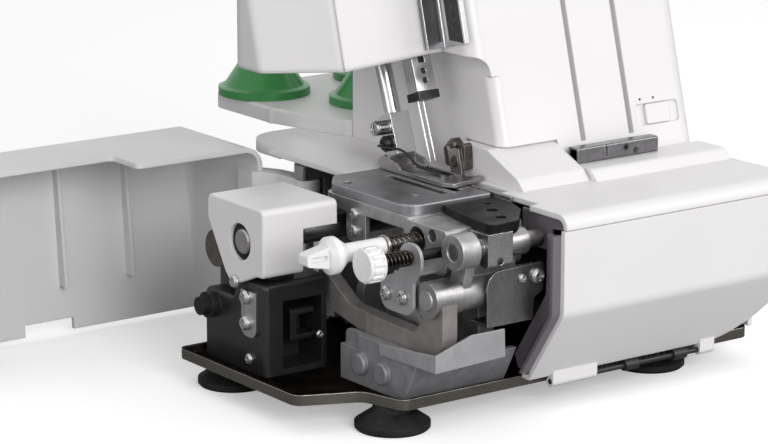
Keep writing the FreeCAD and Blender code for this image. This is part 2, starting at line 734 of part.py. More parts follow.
def stitch_length_knob():
    return side_knob(LENGTH_KNOB_Y, LENGTH_KNOB_Z, FRAME_RIGHT - 12)


def feed_housing():
    """Black cast box with a front recess, a shaft pedestal and a lug for the feed regulator."""
    box = prism("x", [(HOUSING_FRONT, DECK), (HOUSING_REAR, DECK), (HOUSING_REAR, HOUSING_REAR_TOP, 3),
                      (HOUSING_REAR - 24, HOUSING_REAR_TOP, 3), (HOUSING_REAR - 29, HOUSING_TOP, 3),
                      (HOUSING_FRONT, HOUSING_TOP, 3)], HOUSING_LEFT, HOUSING_RIGHT)
    corner = [e for e in box.Edges if e.BoundBox.XLength < 1e-6 and abs(e.BoundBox.XMin - HOUSING_LEFT) < 1e-6
              and e.BoundBox.YLength < 1e-6 and abs(e.BoundBox.YMin - HOUSING_FRONT) < 1e-6]
    box = box.makeFillet(2.5, corner)
    box = box.cut(block(RECESS_LEFT, RECESS_RIGHT, HOUSING_FRONT - 1, HOUSING_FRONT + RECESS_DEPTH,
                        RECESS_LOW, RECESS_TOP))
    far = PEDESTAL_LEFT + PEDESTAL
    pedestal = joined([rod("x", SHAFT_Y, SHAFT_Z, SHAFT_R + PEDESTAL_WALL, PEDESTAL_LEFT, far),
                       block(PEDESTAL_LEFT, far, SHAFT_Y - 10, SHAFT_Y + 5, HOUSING_TOP - 4, SHAFT_Z)])
    lug_left = REGULATOR_LEFT + REGULATOR_DISC + 0.5
    lug = joined([rod("x", REGULATOR_Y, REGULATOR_Z, REGULATOR_R + 3, lug_left, lug_left + 9),
                  block(lug_left, lug_left + 9, REGULATOR_Y - 5, HOUSING_REAR,
                        HOUSING_REAR_TOP - 3, REGULATOR_Z)])
    holes = [rod("x", SHAFT_Y, SHAFT_Z, SHAFT_R + RUN, PEDESTAL_LEFT - 1, far + 1),
             rod("x", REGULATOR_Y, REGULATOR_Z, REGULATOR_R + RUN, lug_left - 1, lug_left + 10)]
    return less(joined([box, pedestal, lug, cover_bumper(), feed_fork()]),
                holes + [screw_hole(*s) for s in housing_screw_spots()])


def housing_screw_spots():
    """Point, outward direction, head radius and shank of each screw in the feed housing."""
    left = V(-1, 0, 0)
    strip = HOUSING_LEFT - BRACKET
    cap = HOUSING_LEFT - SEAM - COVER_WALL
    return [(V(strip, 73.2, 50.0), left, 3.5, 8.0), (V(strip, 73.5, 37.5), left, 3.5, 8.0),
            (V(HOUSING_LEFT, 73.0, 20.0), left, 2.6, 6.0),
            (V(cap, 80.5, HOUSING_TOP - 1.9), left, 3.2, 8.0),
            (V(HOUSING_RIGHT - 4.0, HOUSING_FRONT, 30.0), V(0, -1, 0), 2.0, 5.0)]


def guide_bracket():
    strip = prism("x", [(66.0, 31.0, 4), (78.0, 31.0, 4), (78.0, 53.0), (66.0, 53.0)],
                  HOUSING_LEFT - BRACKET, HOUSING_LEFT)
    return less(strip, [screw_hole(*s) for s in housing_screw_spots()])


def cover_bumper():
    base = rod("x", 103.5, 40.0, 6.3, HOUSING_LEFT - 4.5, HOUSING_LEFT)
    tip = rod("x", 103.5, 40.0, 4.4, HOUSING_LEFT - 8.5, HOUSING_LEFT - 4.5)
    return joined([base, tip])


def feed_fork():
    """Black fork seen inside the recess of the feed housing."""
    back = HOUSING_FRONT + RECESS_DEPTH
    body = prism("x", [(back - 16, 27.0, 2), (back, 27.0), (back, 43.0), (back - 16, 43.0, 2)], -12.0, 1.0)
    return body.cut(block(-9.0, 2.0, back - 17, back - 4, 30.0, 40.0))


def feed_cover():
    """White cap over the feed housing: left face with the shaft window, short front with a notch."""
    left = HOUSING_LEFT - SEAM - COVER_WALL
    side = [(FEED_COVER_REAR - 0.8, FEED_COVER_TOP, 3), (FEED_COVER_REAR, 83.0, 3), (90.0, 59.0, 2.5),
            (84.0, 53.4, 2.5), (64.0, 61.4, 2.5), (FEED_COVER_FRONT, 61.6, 2.5),
            (FEED_COVER_FRONT, FEED_COVER_TOP, 3)]
    cap = prism("x", side, left, FEED_COVER_RIGHT)
    rim = [e for e in cap.Edges if e.BoundBox.XLength < 1e-6 and abs(e.BoundBox.XMin - left) < 1e-6]
    cap = cap.makeFillet(1.2, rim)
    inside = Part.Face(outline("x", side, left + COVER_WALL)).makeOffset2D(-COVER_WALL)
    cavity = [inside.extrude(AXIS_X * (FEED_COVER_RIGHT - left)),
              block(left + COVER_WALL, FEED_COVER_RIGHT + 1, FEED_COVER_FRONT + COVER_WALL,
                    HOUSING_REAR - 26.0, 40.0, HOUSING_TOP + 8.0),
              block(NOTCH_X, FEED_COVER_RIGHT + 1, FEED_COVER_FRONT - 1, FEED_COVER_FRONT + COVER_WALL + 1,
                    40.0, NOTCH_Z),
              rod("x", SHAFT_Y, SHAFT_Z, SHAFT_WINDOW_R, left - 1, left + COVER_WALL + 1)]
    return less(cap, cavity + [screw_hole(*s) for s in housing_screw_spots()])


def looper_housing():
    """Grey cast plate facing left with two round bosses, and its front return wall."""
    side = [(-7.0, DECK), (42.0, DECK), (42.0, 37.0, 3), (-12.0, 37.0, 4), (-17.0, 32.0, 3)]
    plate = prism("x", side, LOOPER_HOUSING_LEFT, LOOPER_HOUSING_LEFT + LOOPER_HOUSING)
    front = prism("x", [(-17.0, 32.0), (-7.0, DECK), (-3.5, DECK), (-13.5, 32.0)],
                  LOOPER_HOUSING_LEFT + 1, LOOPER_HOUSING_RIGHT)
    bosses = []
    for y, z in ((25.6, 23.8), (8.4, 23.2)):
        boss = rod("x", y, z, 5.2, LOOPER_HOUSING_LEFT - 2.5, LOOPER_HOUSING_LEFT + 1)
        bosses.append(boss.makeFillet(1.0, boss.Edges[2:3]))
    pocket = block(LOOPER_HOUSING_LEFT - 1, LOOPER_HOUSING_LEFT + 3, 28.0, 43.0, 30.0, 38.0)
    return joined([plate, front] + bosses).cut(pocket)


def needle_plate():
    """Polished plate with a rounded front left corner, feed slots and the needle slot."""
    plate = prism("z", [(NEEDLE_PLATE_LEFT, NEEDLE_PLATE_REAR - 12, 6),
                        (NEEDLE_PLATE_LEFT, NEEDLE_PLATE_FRONT, 9),
                        (NEEDLE_PLATE_RIGHT, NEEDLE_PLATE_FRONT, 1.5),
                        (NEEDLE_PLATE_RIGHT, NEEDLE_PLATE_REAR),
                        (NEEDLE_PLATE_LEFT + 9, NEEDLE_PLATE_REAR, 6)], NEEDLE_PLATE_LOW, NEEDLE_PLATE_TOP)
    rim = [e for e in plate.Edges if e.BoundBox.ZLength < 1e-6 and e.BoundBox.ZMin > NEEDLE_PLATE_TOP - 0.1]
    plate = plate.makeFillet(0.8, rim)
    under = NEEDLE_PLATE_LOW - 1
    over = NEEDLE_PLATE_TOP + 1
    half = DOG_WIDTH / 2.0 + DOG_SIDE_ROOM
    slots = [block(x - half, x + half, DOG_FRONT - DOG_END_ROOM, DOG_REAR + DOG_END_ROOM, under, over)
             for x in DOG_ROWS]
    needles = prism("z", [(NEEDLE_BAR_X - 5, 50.0, 1), (NEEDLE_PLATE_RIGHT + 1, 50.0),
                          (NEEDLE_PLATE_RIGHT + 1, 62.0), (NEEDLE_BAR_X - 5, 62.0, 1)], under, over)
    return less(plate, slots + [needles, rod("z", 24.0, 68.0, 2.4, under, over)])


def front_casting():
    """Aluminium casting that carries both knobs, with a leg to the base and a rail under the needle plate."""
    body = prism("x", [(CASTING_FRONT, CASTING_LOW, 4), (CASTING_WALL_REAR, CASTING_LOW),
                       (CASTING_WALL_REAR, CASTING_TOP), (CASTING_FRONT, CASTING_TOP, 2)],
                 CASTING_LEFT, CASTING_RIGHT)
    leg = prism("y", [(CASTING_LEFT, DECK), (CASTING_RIGHT, DECK), (CASTING_RIGHT, CASTING_LOW + 1),
                      (CASTING_LEFT, CASTING_LOW + 1)], CASTING_WALL_FRONT, CASTING_WALL_REAR)
    arch = prism("y", [(CASTING_LEFT + 9, DECK - 1), (CASTING_RIGHT - 9, DECK - 1),
                       (CASTING_RIGHT - 9, CASTING_LOW - 12, 12), (CASTING_LEFT + 9, CASTING_LOW - 12, 12)],
                 CASTING_WALL_FRONT - 1, CASTING_WALL_REAR + 1)
    ledge = block(RAIL_LEFT, CASTING_RIGHT, NEEDLE_PLATE_FRONT + 0.5, CASTING_WALL_REAR, RAIL_LOW,
                  NEEDLE_PLATE_LOW)
    rail = prism("z", [(RAIL_LEFT, CASTING_WALL_REAR - 4, 2), (RAIL_RIGHT, CASTING_WALL_REAR - 4),
                       (RAIL_RIGHT + 4, NEEDLE_PLATE_REAR - 2, 2), (RAIL_LEFT, NEEDLE_PLATE_REAR - 8, 4)],
                 RAIL_LOW, NEEDLE_PLATE_LOW)
    right = CASTING_LEFT + RELEASE_HOLE_DEPTH
    holes = [rod("x", RELEASE_Y, RELEASE_Z, RELEASE_HOLE_R, CASTING_LEFT - 1, right),
             rod("x", RELEASE_Y, RELEASE_Z, KNOB_SHAFT_R + RUN, right - 1, CASTING_RIGHT + 1),
             rod("x", WIDTH_Y, WIDTH_Z, WIDTH_SLEEVE_R + RUN, CASTING_LEFT - 1, CASTING_LEFT + 14),
             rod("x", -5.5, 88.0, 3.0, CASTING_LEFT - 1, CASTING_LEFT + 7),
             rod("z", 24.0, 68.0, 2.0, RAIL_LOW - 1, NEEDLE_PLATE_LOW + 1)]
    tab_low = RAIL_LOW - 14.0
    tab = prism("x", [(46.0, tab_low, 3), (61.0, tab_low, 3), (61.0, RAIL_LOW + 1), (46.0, RAIL_LOW + 1)],
                CASTING_LEFT, CASTING_LEFT + 2.5)
    holes += [screw_hole(*s) for s in tab_screw_spots()]
    return less(joined([body, leg.cut(arch), ledge, rail, tab]), holes)


def tab_screw_spots():
    left = V(-1, 0, 0)
    return [(V(CASTING_LEFT, 54.0, RAIL_LOW - 0.5), left, 2.9, 2.5),
            (V(CASTING_LEFT, 54.0, RAIL_LOW - 8.5), left, 2.9, 2.5)]


def release_shaft():
    """Shaft of the knife release knob, sliding in the casting, with a collar for its spring."""
    shaft = rod("x", RELEASE_Y, RELEASE_Z, KNOB_SHAFT_R, RELEASE_SLEEVE,
                CASTING_LEFT + RELEASE_HOLE_DEPTH + 20)
    collar = rod("x", RELEASE_Y, RELEASE_Z, RELEASE_SLEEVE_R + 0.8, RELEASE_SLEEVE_END + SEAM,
                 RELEASE_SLEEVE_END + SEAM + 1.2)
    return joined([shaft, collar])


def release_knob():
    """Knob with a sleeve that flares to a round flange, and a flat handle with a finger slot."""
    flange_left = RELEASE_SLEEVE - 1.0 - RELEASE_FLANGE

    def cone(first, last, left, right):
        return Part.makeCone(first, last, right - left, spot("x", RELEASE_Y, RELEASE_Z, left), AXIS_X)

    sleeve = rod("x", RELEASE_Y, RELEASE_Z, RELEASE_SLEEVE_R, RELEASE_SLEEVE, RELEASE_SLEEVE_END)
    front = cone(RELEASE_FLANGE_R - 3.0, RELEASE_FLANGE_R, flange_left - 2.0, flange_left)
    flange = rod("x", RELEASE_Y, RELEASE_Z, RELEASE_FLANGE_R, flange_left, flange_left + RELEASE_FLANGE)
    bell = cone(RELEASE_FLANGE_R, RELEASE_SLEEVE_R, flange_left + RELEASE_FLANGE, RELEASE_SLEEVE + 5.0)
    half = RELEASE_WING_THICK / 2.0
    wing = prism("y", [(RELEASE_TIP, RELEASE_Z - 2.6, 1.5), (flange_left, RELEASE_Z - RELEASE_WING),
                       (flange_left, RELEASE_Z + RELEASE_WING), (RELEASE_TIP, RELEASE_Z + 2.6, 1.5)],
                 RELEASE_Y - half, RELEASE_Y + half)
    slot = prism("y", [(RELEASE_TIP + 2.5, RELEASE_Z - 1.2, 1.1), (RELEASE_TIP + 11, RELEASE_Z - 1.2, 1.1),
                       (RELEASE_TIP + 11, RELEASE_Z + 1.2, 1.1), (RELEASE_TIP + 2.5, RELEASE_Z + 1.2, 1.1)],
                 RELEASE_Y - half - 1, RELEASE_Y - half + 2.0)
    bore = rod("x", RELEASE_Y, RELEASE_Z, KNOB_SHAFT_R + RUN, RELEASE_SLEEVE - RUN, RELEASE_SLEEVE_END + 1)
    return less(joined([sleeve, front, flange, bell, wing]), [slot, bore])


def release_spring():
    return coil("release_spring", RELEASE_SPRING_R, SPRING_WIRE, RELEASE_SPRING_TURNS,
                RELEASE_SLEEVE_END + SEAM + 1.2 + SPRING_SEAT, CASTING_LEFT + 2.0, RELEASE_Y, RELEASE_Z)


def knob_bracket():
    """Steel plate with a rounded top that guides the cutting width shaft, on a foot bent to the casting."""
    right = BRACKET_X + BRACKET
    y, z = WIDTH_Y, WIDTH_Z
    low = z - 27.5
    plate = prism("x", [(y + 22.5, low, 6), (y - 2, low, 6), (y - 2, z - 12), (y - 8, z - 4, 5),
                        (y - 8, z + 6.5, 7),
                        (y + 8, z + 6.5, 7), (y + 8, z - 8, 3), (y + 22.5, z - 14, 5)], BRACKET_X, right)
    foot = block(right - 0.2, CASTING_LEFT, y + WIDTH_SLEEVE_R + BRACKET_ROOM, y + 14, CASTING_LOW + 0.5,
                 CASTING_LOW + 0.5 + BRACKET)
    hole = rod("x", WIDTH_Y, WIDTH_Z, WIDTH_SLEEVE_R + RUN, BRACKET_X - 1, right + 1)
    return less(joined([plate, foot]), [hole] + [screw_hole(*s) for s in bracket_screw_spots()])


def bracket_screw_spots():
    left = V(-1, 0, 0)
    return [(V(BRACKET_X, WIDTH_Y + 17.5, WIDTH_Z - 20.0), left, 3.4, BRACKET),
            (V(BRACKET_X, WIDTH_Y + 5.0, WIDTH_Z - 19.5), left, 3.4, BRACKET)]


def width_knob():
    """Ribbed dial of the cutting width with a plain face and a plain rim, on its shaft."""
    shaft = rod("x", WIDTH_Y, WIDTH_Z, WIDTH_SLEEVE_R, WIDTH_KNOB_RIGHT - 2, CASTING_LEFT + 12)
    dial = ribbed("x", WIDTH_Y, WIDTH_Z, WIDTH_KNOB_R, WIDTH_KNOB_LEFT + 1.5, WIDTH_KNOB_RIGHT - 0.8,
                  WIDTH_KNOB_RIBS, 1.0)
    face = rod("x", WIDTH_Y, WIDTH_Z, WIDTH_KNOB_R - 0.6, WIDTH_KNOB_LEFT, WIDTH_KNOB_LEFT + 2)
    face = face.makeFillet(0.8, [e for e in face.Edges if abs(e.BoundBox.XMax - WIDTH_KNOB_LEFT) < 1e-6])
    rim = rod("x", WIDTH_Y, WIDTH_Z, WIDTH_KNOB_R, WIDTH_KNOB_RIGHT - 0.8, WIDTH_KNOB_RIGHT)
    return joined([dial, face, rim, shaft])


def width_spring():
    return coil("width_spring", WIDTH_SPRING_R, SPRING_WIRE, WIDTH_SPRING_TURNS,
                WIDTH_KNOB_RIGHT + SPRING_SEAT, BRACKET_X - SPRING_SEAT, WIDTH_Y, WIDTH_Z)


def knife_bracket():
    """Cast bracket on the front of the casting: upper boss, strap, pivot tube and lug for the guard."""
    left = ARM_HUB_LEFT + ARM_HUB_LENGTH + SEAM
    boss = rod("x", KNIFE_SHAFT_Y, KNIFE_SHAFT_Z, BOSS_R, BOSS_LEFT, BOSS_RIGHT)
    strap = prism("x", [(KNIFE_SHAFT_Y - 5, KNIFE_SHAFT_Z), (KNIFE_SHAFT_Y + 5, KNIFE_SHAFT_Z),
                        (PIVOT_Y + 5, PIVOT_Z), (PIVOT_Y - 5, PIVOT_Z)], left, BOSS_RIGHT)
    tube = rod("x", PIVOT_Y, PIVOT_Z, TUBE_R, left, TUBE_RIGHT)
    pad = block(30.0, 54.0, PIVOT_Y, CASTING_FRONT, PIVOT_Z, KNIFE_SHAFT_Z - CLAMP_HALF - 2)
    lug = prism("x", [(GUARD_Y + GUARD_SHEET, PIVOT_Z + 2), (PIVOT_Y, PIVOT_Z + 2),
                      (PIVOT_Y, PIVOT_Z + 9, 2),
                      (GUARD_Y + GUARD_SHEET, PIVOT_Z + 10)], 44.0, 62.0)
    hole = rod("x", KNIFE_SHAFT_Y, KNIFE_SHAFT_Z, KNIFE_SHAFT_R + RUN, BOSS_LEFT - 1, BOSS_RIGHT + 1)
    body = less(joined([boss, strap, tube, pad, lug]),
                [hole] + [screw_hole(*s) for s in guard_screw_spots()])
    return joined([body, pivot_pin()])


def pivot_pin():
    pin = rod("x", PIVOT_Y, PIVOT_Z, PIVOT_R, PIVOT_LEFT, TUBE_RIGHT)
    return pin.makeFillet(0.8, [e for e in pin.Edges if e.BoundBox.XLength < 1e-6])


def knife_drive_arm():
    """Curved cast arm that hangs from the pivot pin and runs back to the feed housing."""
    arm = prism("x", [(-29.0, PIVOT_Z), (-29.0, 44.0, 8), (-22.0, 36.0, 9), (34.0, 36.0, 14),
                      (56.0, 40.5, 10),
                      (73.0, 53.0, 3), (67.0, 60.5, 3), (44.0, 46.5, 12), (-7.5, 45.0, 7), (-12.5, 51.0, 5),
                      (-12.5, PIVOT_Z)], ARM_LEFT, ARM_RIGHT)
    hub = rod("x", PIVOT_Y, PIVOT_Z, ARM_HUB_R, ARM_HUB_LEFT, ARM_HUB_LEFT + ARM_HUB_LENGTH)
    step = block(ARM_LEFT - 1, ARM_LEFT + 1.2, 30.0, 80.0, 30.0, 70.0)
    bore = rod("x", PIVOT_Y, PIVOT_Z, PIVOT_R + RUN, ARM_HUB_LEFT - 1, ARM_HUB_LEFT + ARM_HUB_LENGTH + 1)
    return less(joined([arm, hub]), [step, bore])


def knife_shaft():
    """Knife shaft with its split clamp and collar."""
    y, z, h = KNIFE_SHAFT_Y, KNIFE_SHAFT_Z, CLAMP_HALF
    body = prism("x", [(y - h, z - h - 3, 2), (y + h, z - h + 1, 2), (y + h, CASTING_TOP + RUN),
                       (y - h, CASTING_TOP + RUN)],
                 CLAMP_LEFT, CLAMP_RIGHT)
    collar = rod("x", y, z, COLLAR_R, CLAMP_RIGHT - 1, COLLAR_RIGHT)
    shaft = rod("x", y, z, KNIFE_SHAFT_R, BOSS_LEFT + 0.5, KNIFE_SHAFT_RIGHT)
    holes = [rod("y", (CLAMP_LEFT + CLAMP_RIGHT) / 2.0, z - 6.0, 1.8, y - h - 1, y - h + 5),
             block(CLAMP_LEFT - 1, CLAMP_RIGHT - 2, y - 0.5, y + 0.5, z - h - 4, z - KNIFE_SHAFT_R + 1)]
    return joined([less(joined([body, collar]), holes), shaft])


def guard_screw_spots():
    front = V(0, -1, 0)
    return [(V(49.5, GUARD_Y, 69.0), front, 2.2, 6.0), (V(58.0, GUARD_Y, 69.0), front, 3.6, 6.0)]


def screws():
    spots = housing_screw_spots() + guard_screw_spots() + bracket_screw_spots() + tab_screw_spots()
    return Part.makeCompound([screw(p, d, r, r * 0.7, s) for p, d, r, s in spots])


def guard_plate():
    """Bent zinc sheet in front of the knife shaft, with a flange along its lower edge."""
    low = PIVOT_Z - TUBE_R - 6.0
    sheet = prism("y", [(30.0, low), (56.0, low), (56.5, low + 9, 2), (62.5, low + 12, 2),
                        (62.5, low + 25, 2),
                        (30.0, low + 24, 7)], GUARD_Y, GUARD_Y + GUARD_SHEET)
    flange = block(30.0, 56.0, GUARD_Y, GUARD_Y + 13.0, low - GUARD_SHEET, low)
    return less(joined([sheet, flange]), [screw_hole(*s) for s in guard_screw_spots()])


def chip_guard():
    """Bright sheet below the guard, bent back along the looper housing."""
    low = PIVOT_Z - TUBE_R - 23.0
    left = LOOPER_HOUSING_LEFT - GUARD_SHEET
    front = prism("y", [(left, low), (39.0, low + 1.5), (38.5, low + 14.5), (20.0, low + 14.5),
                        (left, low + 8)],
                  CHIP_Y, CHIP_Y + GUARD_SHEET)
    wing = prism("x", [(CHIP_Y, low), (10.0, low - 1.0), (10.0, low + 4.0), (CHIP_Y, low + 8)],
                 left, LOOPER_HOUSING_LEFT)
    return joined([front, wing])


def lower_knife():
    """Fixed knife with its black holder plate."""
    plate = prism("z", [(34.0, -5.0, 3), (31.0, -32.0, 4), (48.0, -30.0, 4), (62.0, -14.0, 4),
                        (LOWER_KNIFE_X, 0.0), (LOWER_KNIFE_X, NEEDLE_PLATE_FRONT - SEAM),
                        (38.0, NEEDLE_PLATE_FRONT - SEAM, 2)], CASTING_TOP + RUN, CASTING_TOP + 4.0)
    blade = prism("x", [(0.0, CASTING_TOP - 3), (38.0, CASTING_TOP), (46.0, NEEDLE_PLATE_TOP),
                        (0.0, NEEDLE_PLATE_TOP)],
                  LOWER_KNIFE_X, LOWER_KNIFE_X + 1.5)
    holes = [rod("z", x, y, r, CASTING_TOP - 1, CASTING_TOP + 5)
             for x, y, r in ((45.0, -21.0, 2.6), (50.0, -8.0, 3.0), (56.0, 3.0, 2.0))]
    return joined([less(plate, holes), blade])


def upper_knife():
    """Upper knife with its dark clamp on the rocking shaft."""
    y, z = UPPER_KNIFE_Y, UPPER_KNIFE_Z
    body = prism("x", [(y - 8, z - 5, 1), (y + 7, z - 5, 2), (y + 9, z + 3, 2), (y + 3, z + 9, 1.5),
                       (y - 1, z + 6, 1), (y - 7, z + 8, 1.5)], UPPER_KNIFE_LEFT, GUARD_LEFT - SEAM)
    shaft = rod("x", y, z, KNIFE_SHAFT_R, GUARD_LEFT - 2, GUARD_RIGHT - 8)
    blade = prism("x", [(y - 8, NEEDLE_PLATE_TOP + 0.8), (y + 1, NEEDLE_PLATE_TOP + 2.0), (y + 4, z + 5),
                        (y - 5, z + 5)], UPPER_KNIFE_LEFT - 1.6, UPPER_KNIFE_LEFT)
    return joined([body, shaft, blade])


def knife_guard():
    """White hood over the upper knife's rocking shaft, with a slanted front."""
    low = BED_LEVEL
    hood = prism("x", [(4.0, low), (GUARD_REAR, low), (GUARD_REAR, GUARD_TOP, 4), (32.0, GUARD_TOP, 5),
                       (9.0, low + 5, 3)], GUARD_LEFT, GUARD_RIGHT)
    return hood.cut(rod("x", UPPER_KNIFE_Y, UPPER_KNIFE_Z, KNIFE_SHAFT_R + RUN, GUARD_LEFT - 1,
                        GUARD_RIGHT - 7))


def feed_dogs():
    """Two toothed rows standing in the needle plate's slots, on their feed bar."""
    rows = []
    step = (DOG_REAR - DOG_FRONT) / DOG_TEETH
    low = NEEDLE_PLATE_TOP - 2.0
    for x in DOG_ROWS:
        left = x - DOG_WIDTH / 2.0
        corners = [(DOG_FRONT, FEED_BAR_TOP)]
        for i in range(DOG_TEETH):
            corners.append((DOG_FRONT + step * i, low))
            corners.append((DOG_FRONT + step * (i + 0.75), low + 1.7))
        corners += [(DOG_REAR, low), (DOG_REAR, FEED_BAR_TOP)]
        rows.append(prism("x", corners, left, left + DOG_WIDTH))
    bar = prism("z", [(FEED_BAR_LEFT, DOG_FRONT - 4, 3), (FEED_BAR_RIGHT, DOG_FRONT - 4, 3),
                      (FEED_BAR_RIGHT, DOG_REAR + 8, 2), (FEED_BAR_LEFT, DOG_REAR + 8, 2)],
                FEED_BAR_LOW, FEED_BAR_TOP)
    return joined([bar] + rows)


def looper(x, front, corners):
    """Looper blade on a shaft along Y, held in the looper wall."""
    shaft = rod("y", x, LOOPER_SHAFT_Z, LOOPER_SHAFT_R, front, LOOPER_WALL_Y + LOOPER_WALL)
    hub = rod("y", x, LOOPER_SHAFT_Z, LOOPER_SHAFT_R + 4, front, front + LOOPER_BLADE)
    blade = prism("y", corners, front, front + LOOPER_BLADE)
    return joined([shaft, hub, blade])


def lower_looper():
    x, z = LOOPER_XS[0], LOOPER_SHAFT_Z
    return looper(x, LOWER_LOOPER_Y, [(x - 5, z), (x + 5, z), (x + 2, z + 30, 8), (x + 24, z + 41, 4),
                                      (x + 26, z + 43),
                      (x + 4, z + 41, 6), (x - 5, z + 30, 8)])


def upper_looper():
    x, z = LOOPER_XS[1], LOOPER_SHAFT_Z
    return looper(x, UPPER_LOOPER_Y, [(x - 5, z), (x + 5, z), (x + 3, z + 34, 10), (x - 13, z + 48, 3),
                                      (x - 15, z + 47),
                      (x - 4, z + 30, 10)])


def needle_bar():
    """Rectangular needle bar with its clamp and two needles, a square window and set screw holes in front."""
    bar = leaning_block(NEEDLE_FOOT, NEEDLE_BAR_WIDE, NEEDLE_BAR_DEEP, 0.0, NEEDLE_BAR_LENGTH)
    marks = [Part.makeBox(3.4, 2.0, 3.0, V(-1.7, -NEEDLE_BAR_DEEP / 2.0 - 0.5, 13.5))]
    for up in (5.0, 9.5):
        marks.append(Part.makeCylinder(1.5, 2.0, V(0, -NEEDLE_BAR_DEEP / 2.0 - 0.5, up), AXIS_Y))
    for mark in marks:
        mark.Placement = FreeCAD.Placement(NEEDLE_FOOT,
                                           FreeCAD.Rotation(AXIS_X, -LEAN)).multiply(mark.Placement)
    clamp = leaning_block(NEEDLE_FOOT, NEEDLE_CLAMP_WIDE, NEEDLE_BAR_DEEP + 2, -NEEDLE_CLAMP, 0.0)
    pieces = [less(bar, marks), clamp]
    for side in (-1, 1):
        top = NEEDLE_FOOT + V(side * NEEDLE_PITCH / 2.0 - 0.5, NEEDLE_BEHIND, 0)
        pieces.append(leaning_rod(top, NEEDLE_R, -NEEDLE_REACH + 6, -1.0))
        pieces.append(Part.makeCone(0.15, NEEDLE_R, 6.0, leaning(top, -NEEDLE_REACH), LEAN_WAY))
    return joined(pieces)


def presser_bar():
    """Presser bar with the clamp of the foot at its lower end, and the screw boss at its left."""
    bar = leaning_rod(PRESSER_FOOT, PRESSER_R, -2.0, PRESSER_LENGTH)
    body = leaning_block(PRESSER_FOOT, SHANK_WIDE, SHANK_DEEP, -SHANK_LENGTH, 0.0)
    left = V(-SHANK_WIDE / 2.0 + 1, 0, 0)
    boss = aimed(Part.makeCylinder(3.6, 7.0), leaning(PRESSER_FOOT, -6.0) + left, V(-1, 0, 0))
    knob = aimed(Part.makeCylinder(3.8, 4.0), leaning(PRESSER_FOOT, -14.0) + left, V(-1, 0, 0))
    return joined([body, boss, knob, bar])


def presser_foot():
    """Sole with upturned toe, side flanges and the needle slot."""
    low = NEEDLE_PLATE_TOP + SOLE_LIFT
    top = low + SOLE
    left = FOOT_SOLE_LEFT
    right = FOOT_SOLE_RIGHT
    sole = prism("z", [(left, 84.0, 3), (left, 34.0, 4), (left + 3, 28.0, 3), (FOOT_TOE, 32.5, 2),
                       (FOOT_TOE, 36.0, 1), (right, 38.0, 2), (right, 84.0, 3)], low, top)
    slot = prism("z", [(62.5, 44.0, 1.5), (69.2, 44.0, 1.5), (69.2, 68.0, 1.5), (62.5, 68.0, 1.5)],
                 low - 1, top + 1)
    flange = [(66.0, top - 0.5), (84.0, top - 0.5), (84.0, top + 3, 1), (80.0, top + 5, 1),
              (70.0, top + 3, 1)]
    walls = [prism("x", flange, left, left + 1.4), prism("x", flange, right - 1.4, right)]
    seat = leaning(PRESSER_FOOT, -SHANK_LENGTH)
    bridge = prism("x", [(seat.y - 4, top - 0.5), (seat.y + 6, top - 0.5),
                         (seat.y + 4.2, seat.z - 1.9, 0.5),
                         (seat.y - 4.2, seat.z + 1.3, 0.5)], left + 0.7, right - 0.7)
    return less(joined([sole.cut(slot), bridge] + walls),
                [leaning_block(PRESSER_FOOT, SHANK_WIDE + 2, SHANK_DEEP + 4, -SHANK_LENGTH - SEAM, 5.0)])


def bar_guide():
    """Casting at the arm's end with guides for the needle bar and the presser bar."""
    lean = math.tan(math.radians(LEAN))
    front = NEEDLE_BAR_Y + (GUIDE_LOW - NEEDLE_BAR_Z) * lean - NEEDLE_BAR_DEEP
    rise = (GUIDE_TOP - GUIDE_LOW) * lean
    body = prism("x", [(front, GUIDE_LOW), (WEB_Y + WEB, GUIDE_LOW - 22, 4),
                       (WEB_Y + WEB + 16, GUIDE_LOW - 18, 4),
                       (WEB_Y + WEB + 16, GUIDE_TOP, 4), (front + rise, GUIDE_TOP)],
                 GUIDE_LEFT, FRAME_ARM_LEFT)
    holes = [leaning_block(NEEDLE_FOOT, NEEDLE_BAR_WIDE + 2 * RUN, NEEDLE_BAR_DEEP + 2 * RUN, 30, 140),
             leaning_rod(PRESSER_FOOT, PRESSER_R + RUN, 30, 140),
             rod("x", LEVER_Y, LEVER_Z, LEVER_PIN_R + RUN, GUIDE_LEFT + 10, FRAME_ARM_LEFT + 1),
             block(LEVER_X - LEVER_THICK / 2.0 - SEAM, FRAME_ARM_LEFT + 1, WEB_Y + WEB - 8, BODY_REAR,
                   GUIDE_LOW - 30, LEVER_Z + 11)]
    return less(body, holes)


def presser_lever():
    """Lifter at the back of the head, turning on its own pin."""
    pin = rod("x", LEVER_Y, LEVER_Z, LEVER_PIN_R, GUIDE_LEFT + 11, LEVER_X + LEVER_THICK / 2.0)
    arm = prism("x", [(LEVER_Y - 6, LEVER_Z - 6, 4), (LEVER_Y + 6, LEVER_Z - 6, 3),
                      (BODY_REAR + 20, LEVER_Z - 32, 4),
                      (BODY_REAR + 24, LEVER_Z - 25, 4), (LEVER_Y + 6, LEVER_Z + 6, 4),
                      (LEVER_Y - 6, LEVER_Z + 6, 4)],
                LEVER_X - LEVER_THICK / 2.0, LEVER_X + LEVER_THICK / 2.0)
    return joined([pin, arm])


def front_box(x0, x1, out, into, low, high, turn=0.0):
    """Box on the column's leaning front: depth into the wall, height along the slope from bed level."""
    box = prism("y", [(x0, low, turn), (x1, low, turn), (x1, high, turn), (x0, high, turn)], out, into)
    box.Placement = FreeCAD.Placement(V(0, COLUMN_FRONT, BED_LEVEL), FreeCAD.Rotation(AXIS_X, -FRONT_LEAN))
    return box


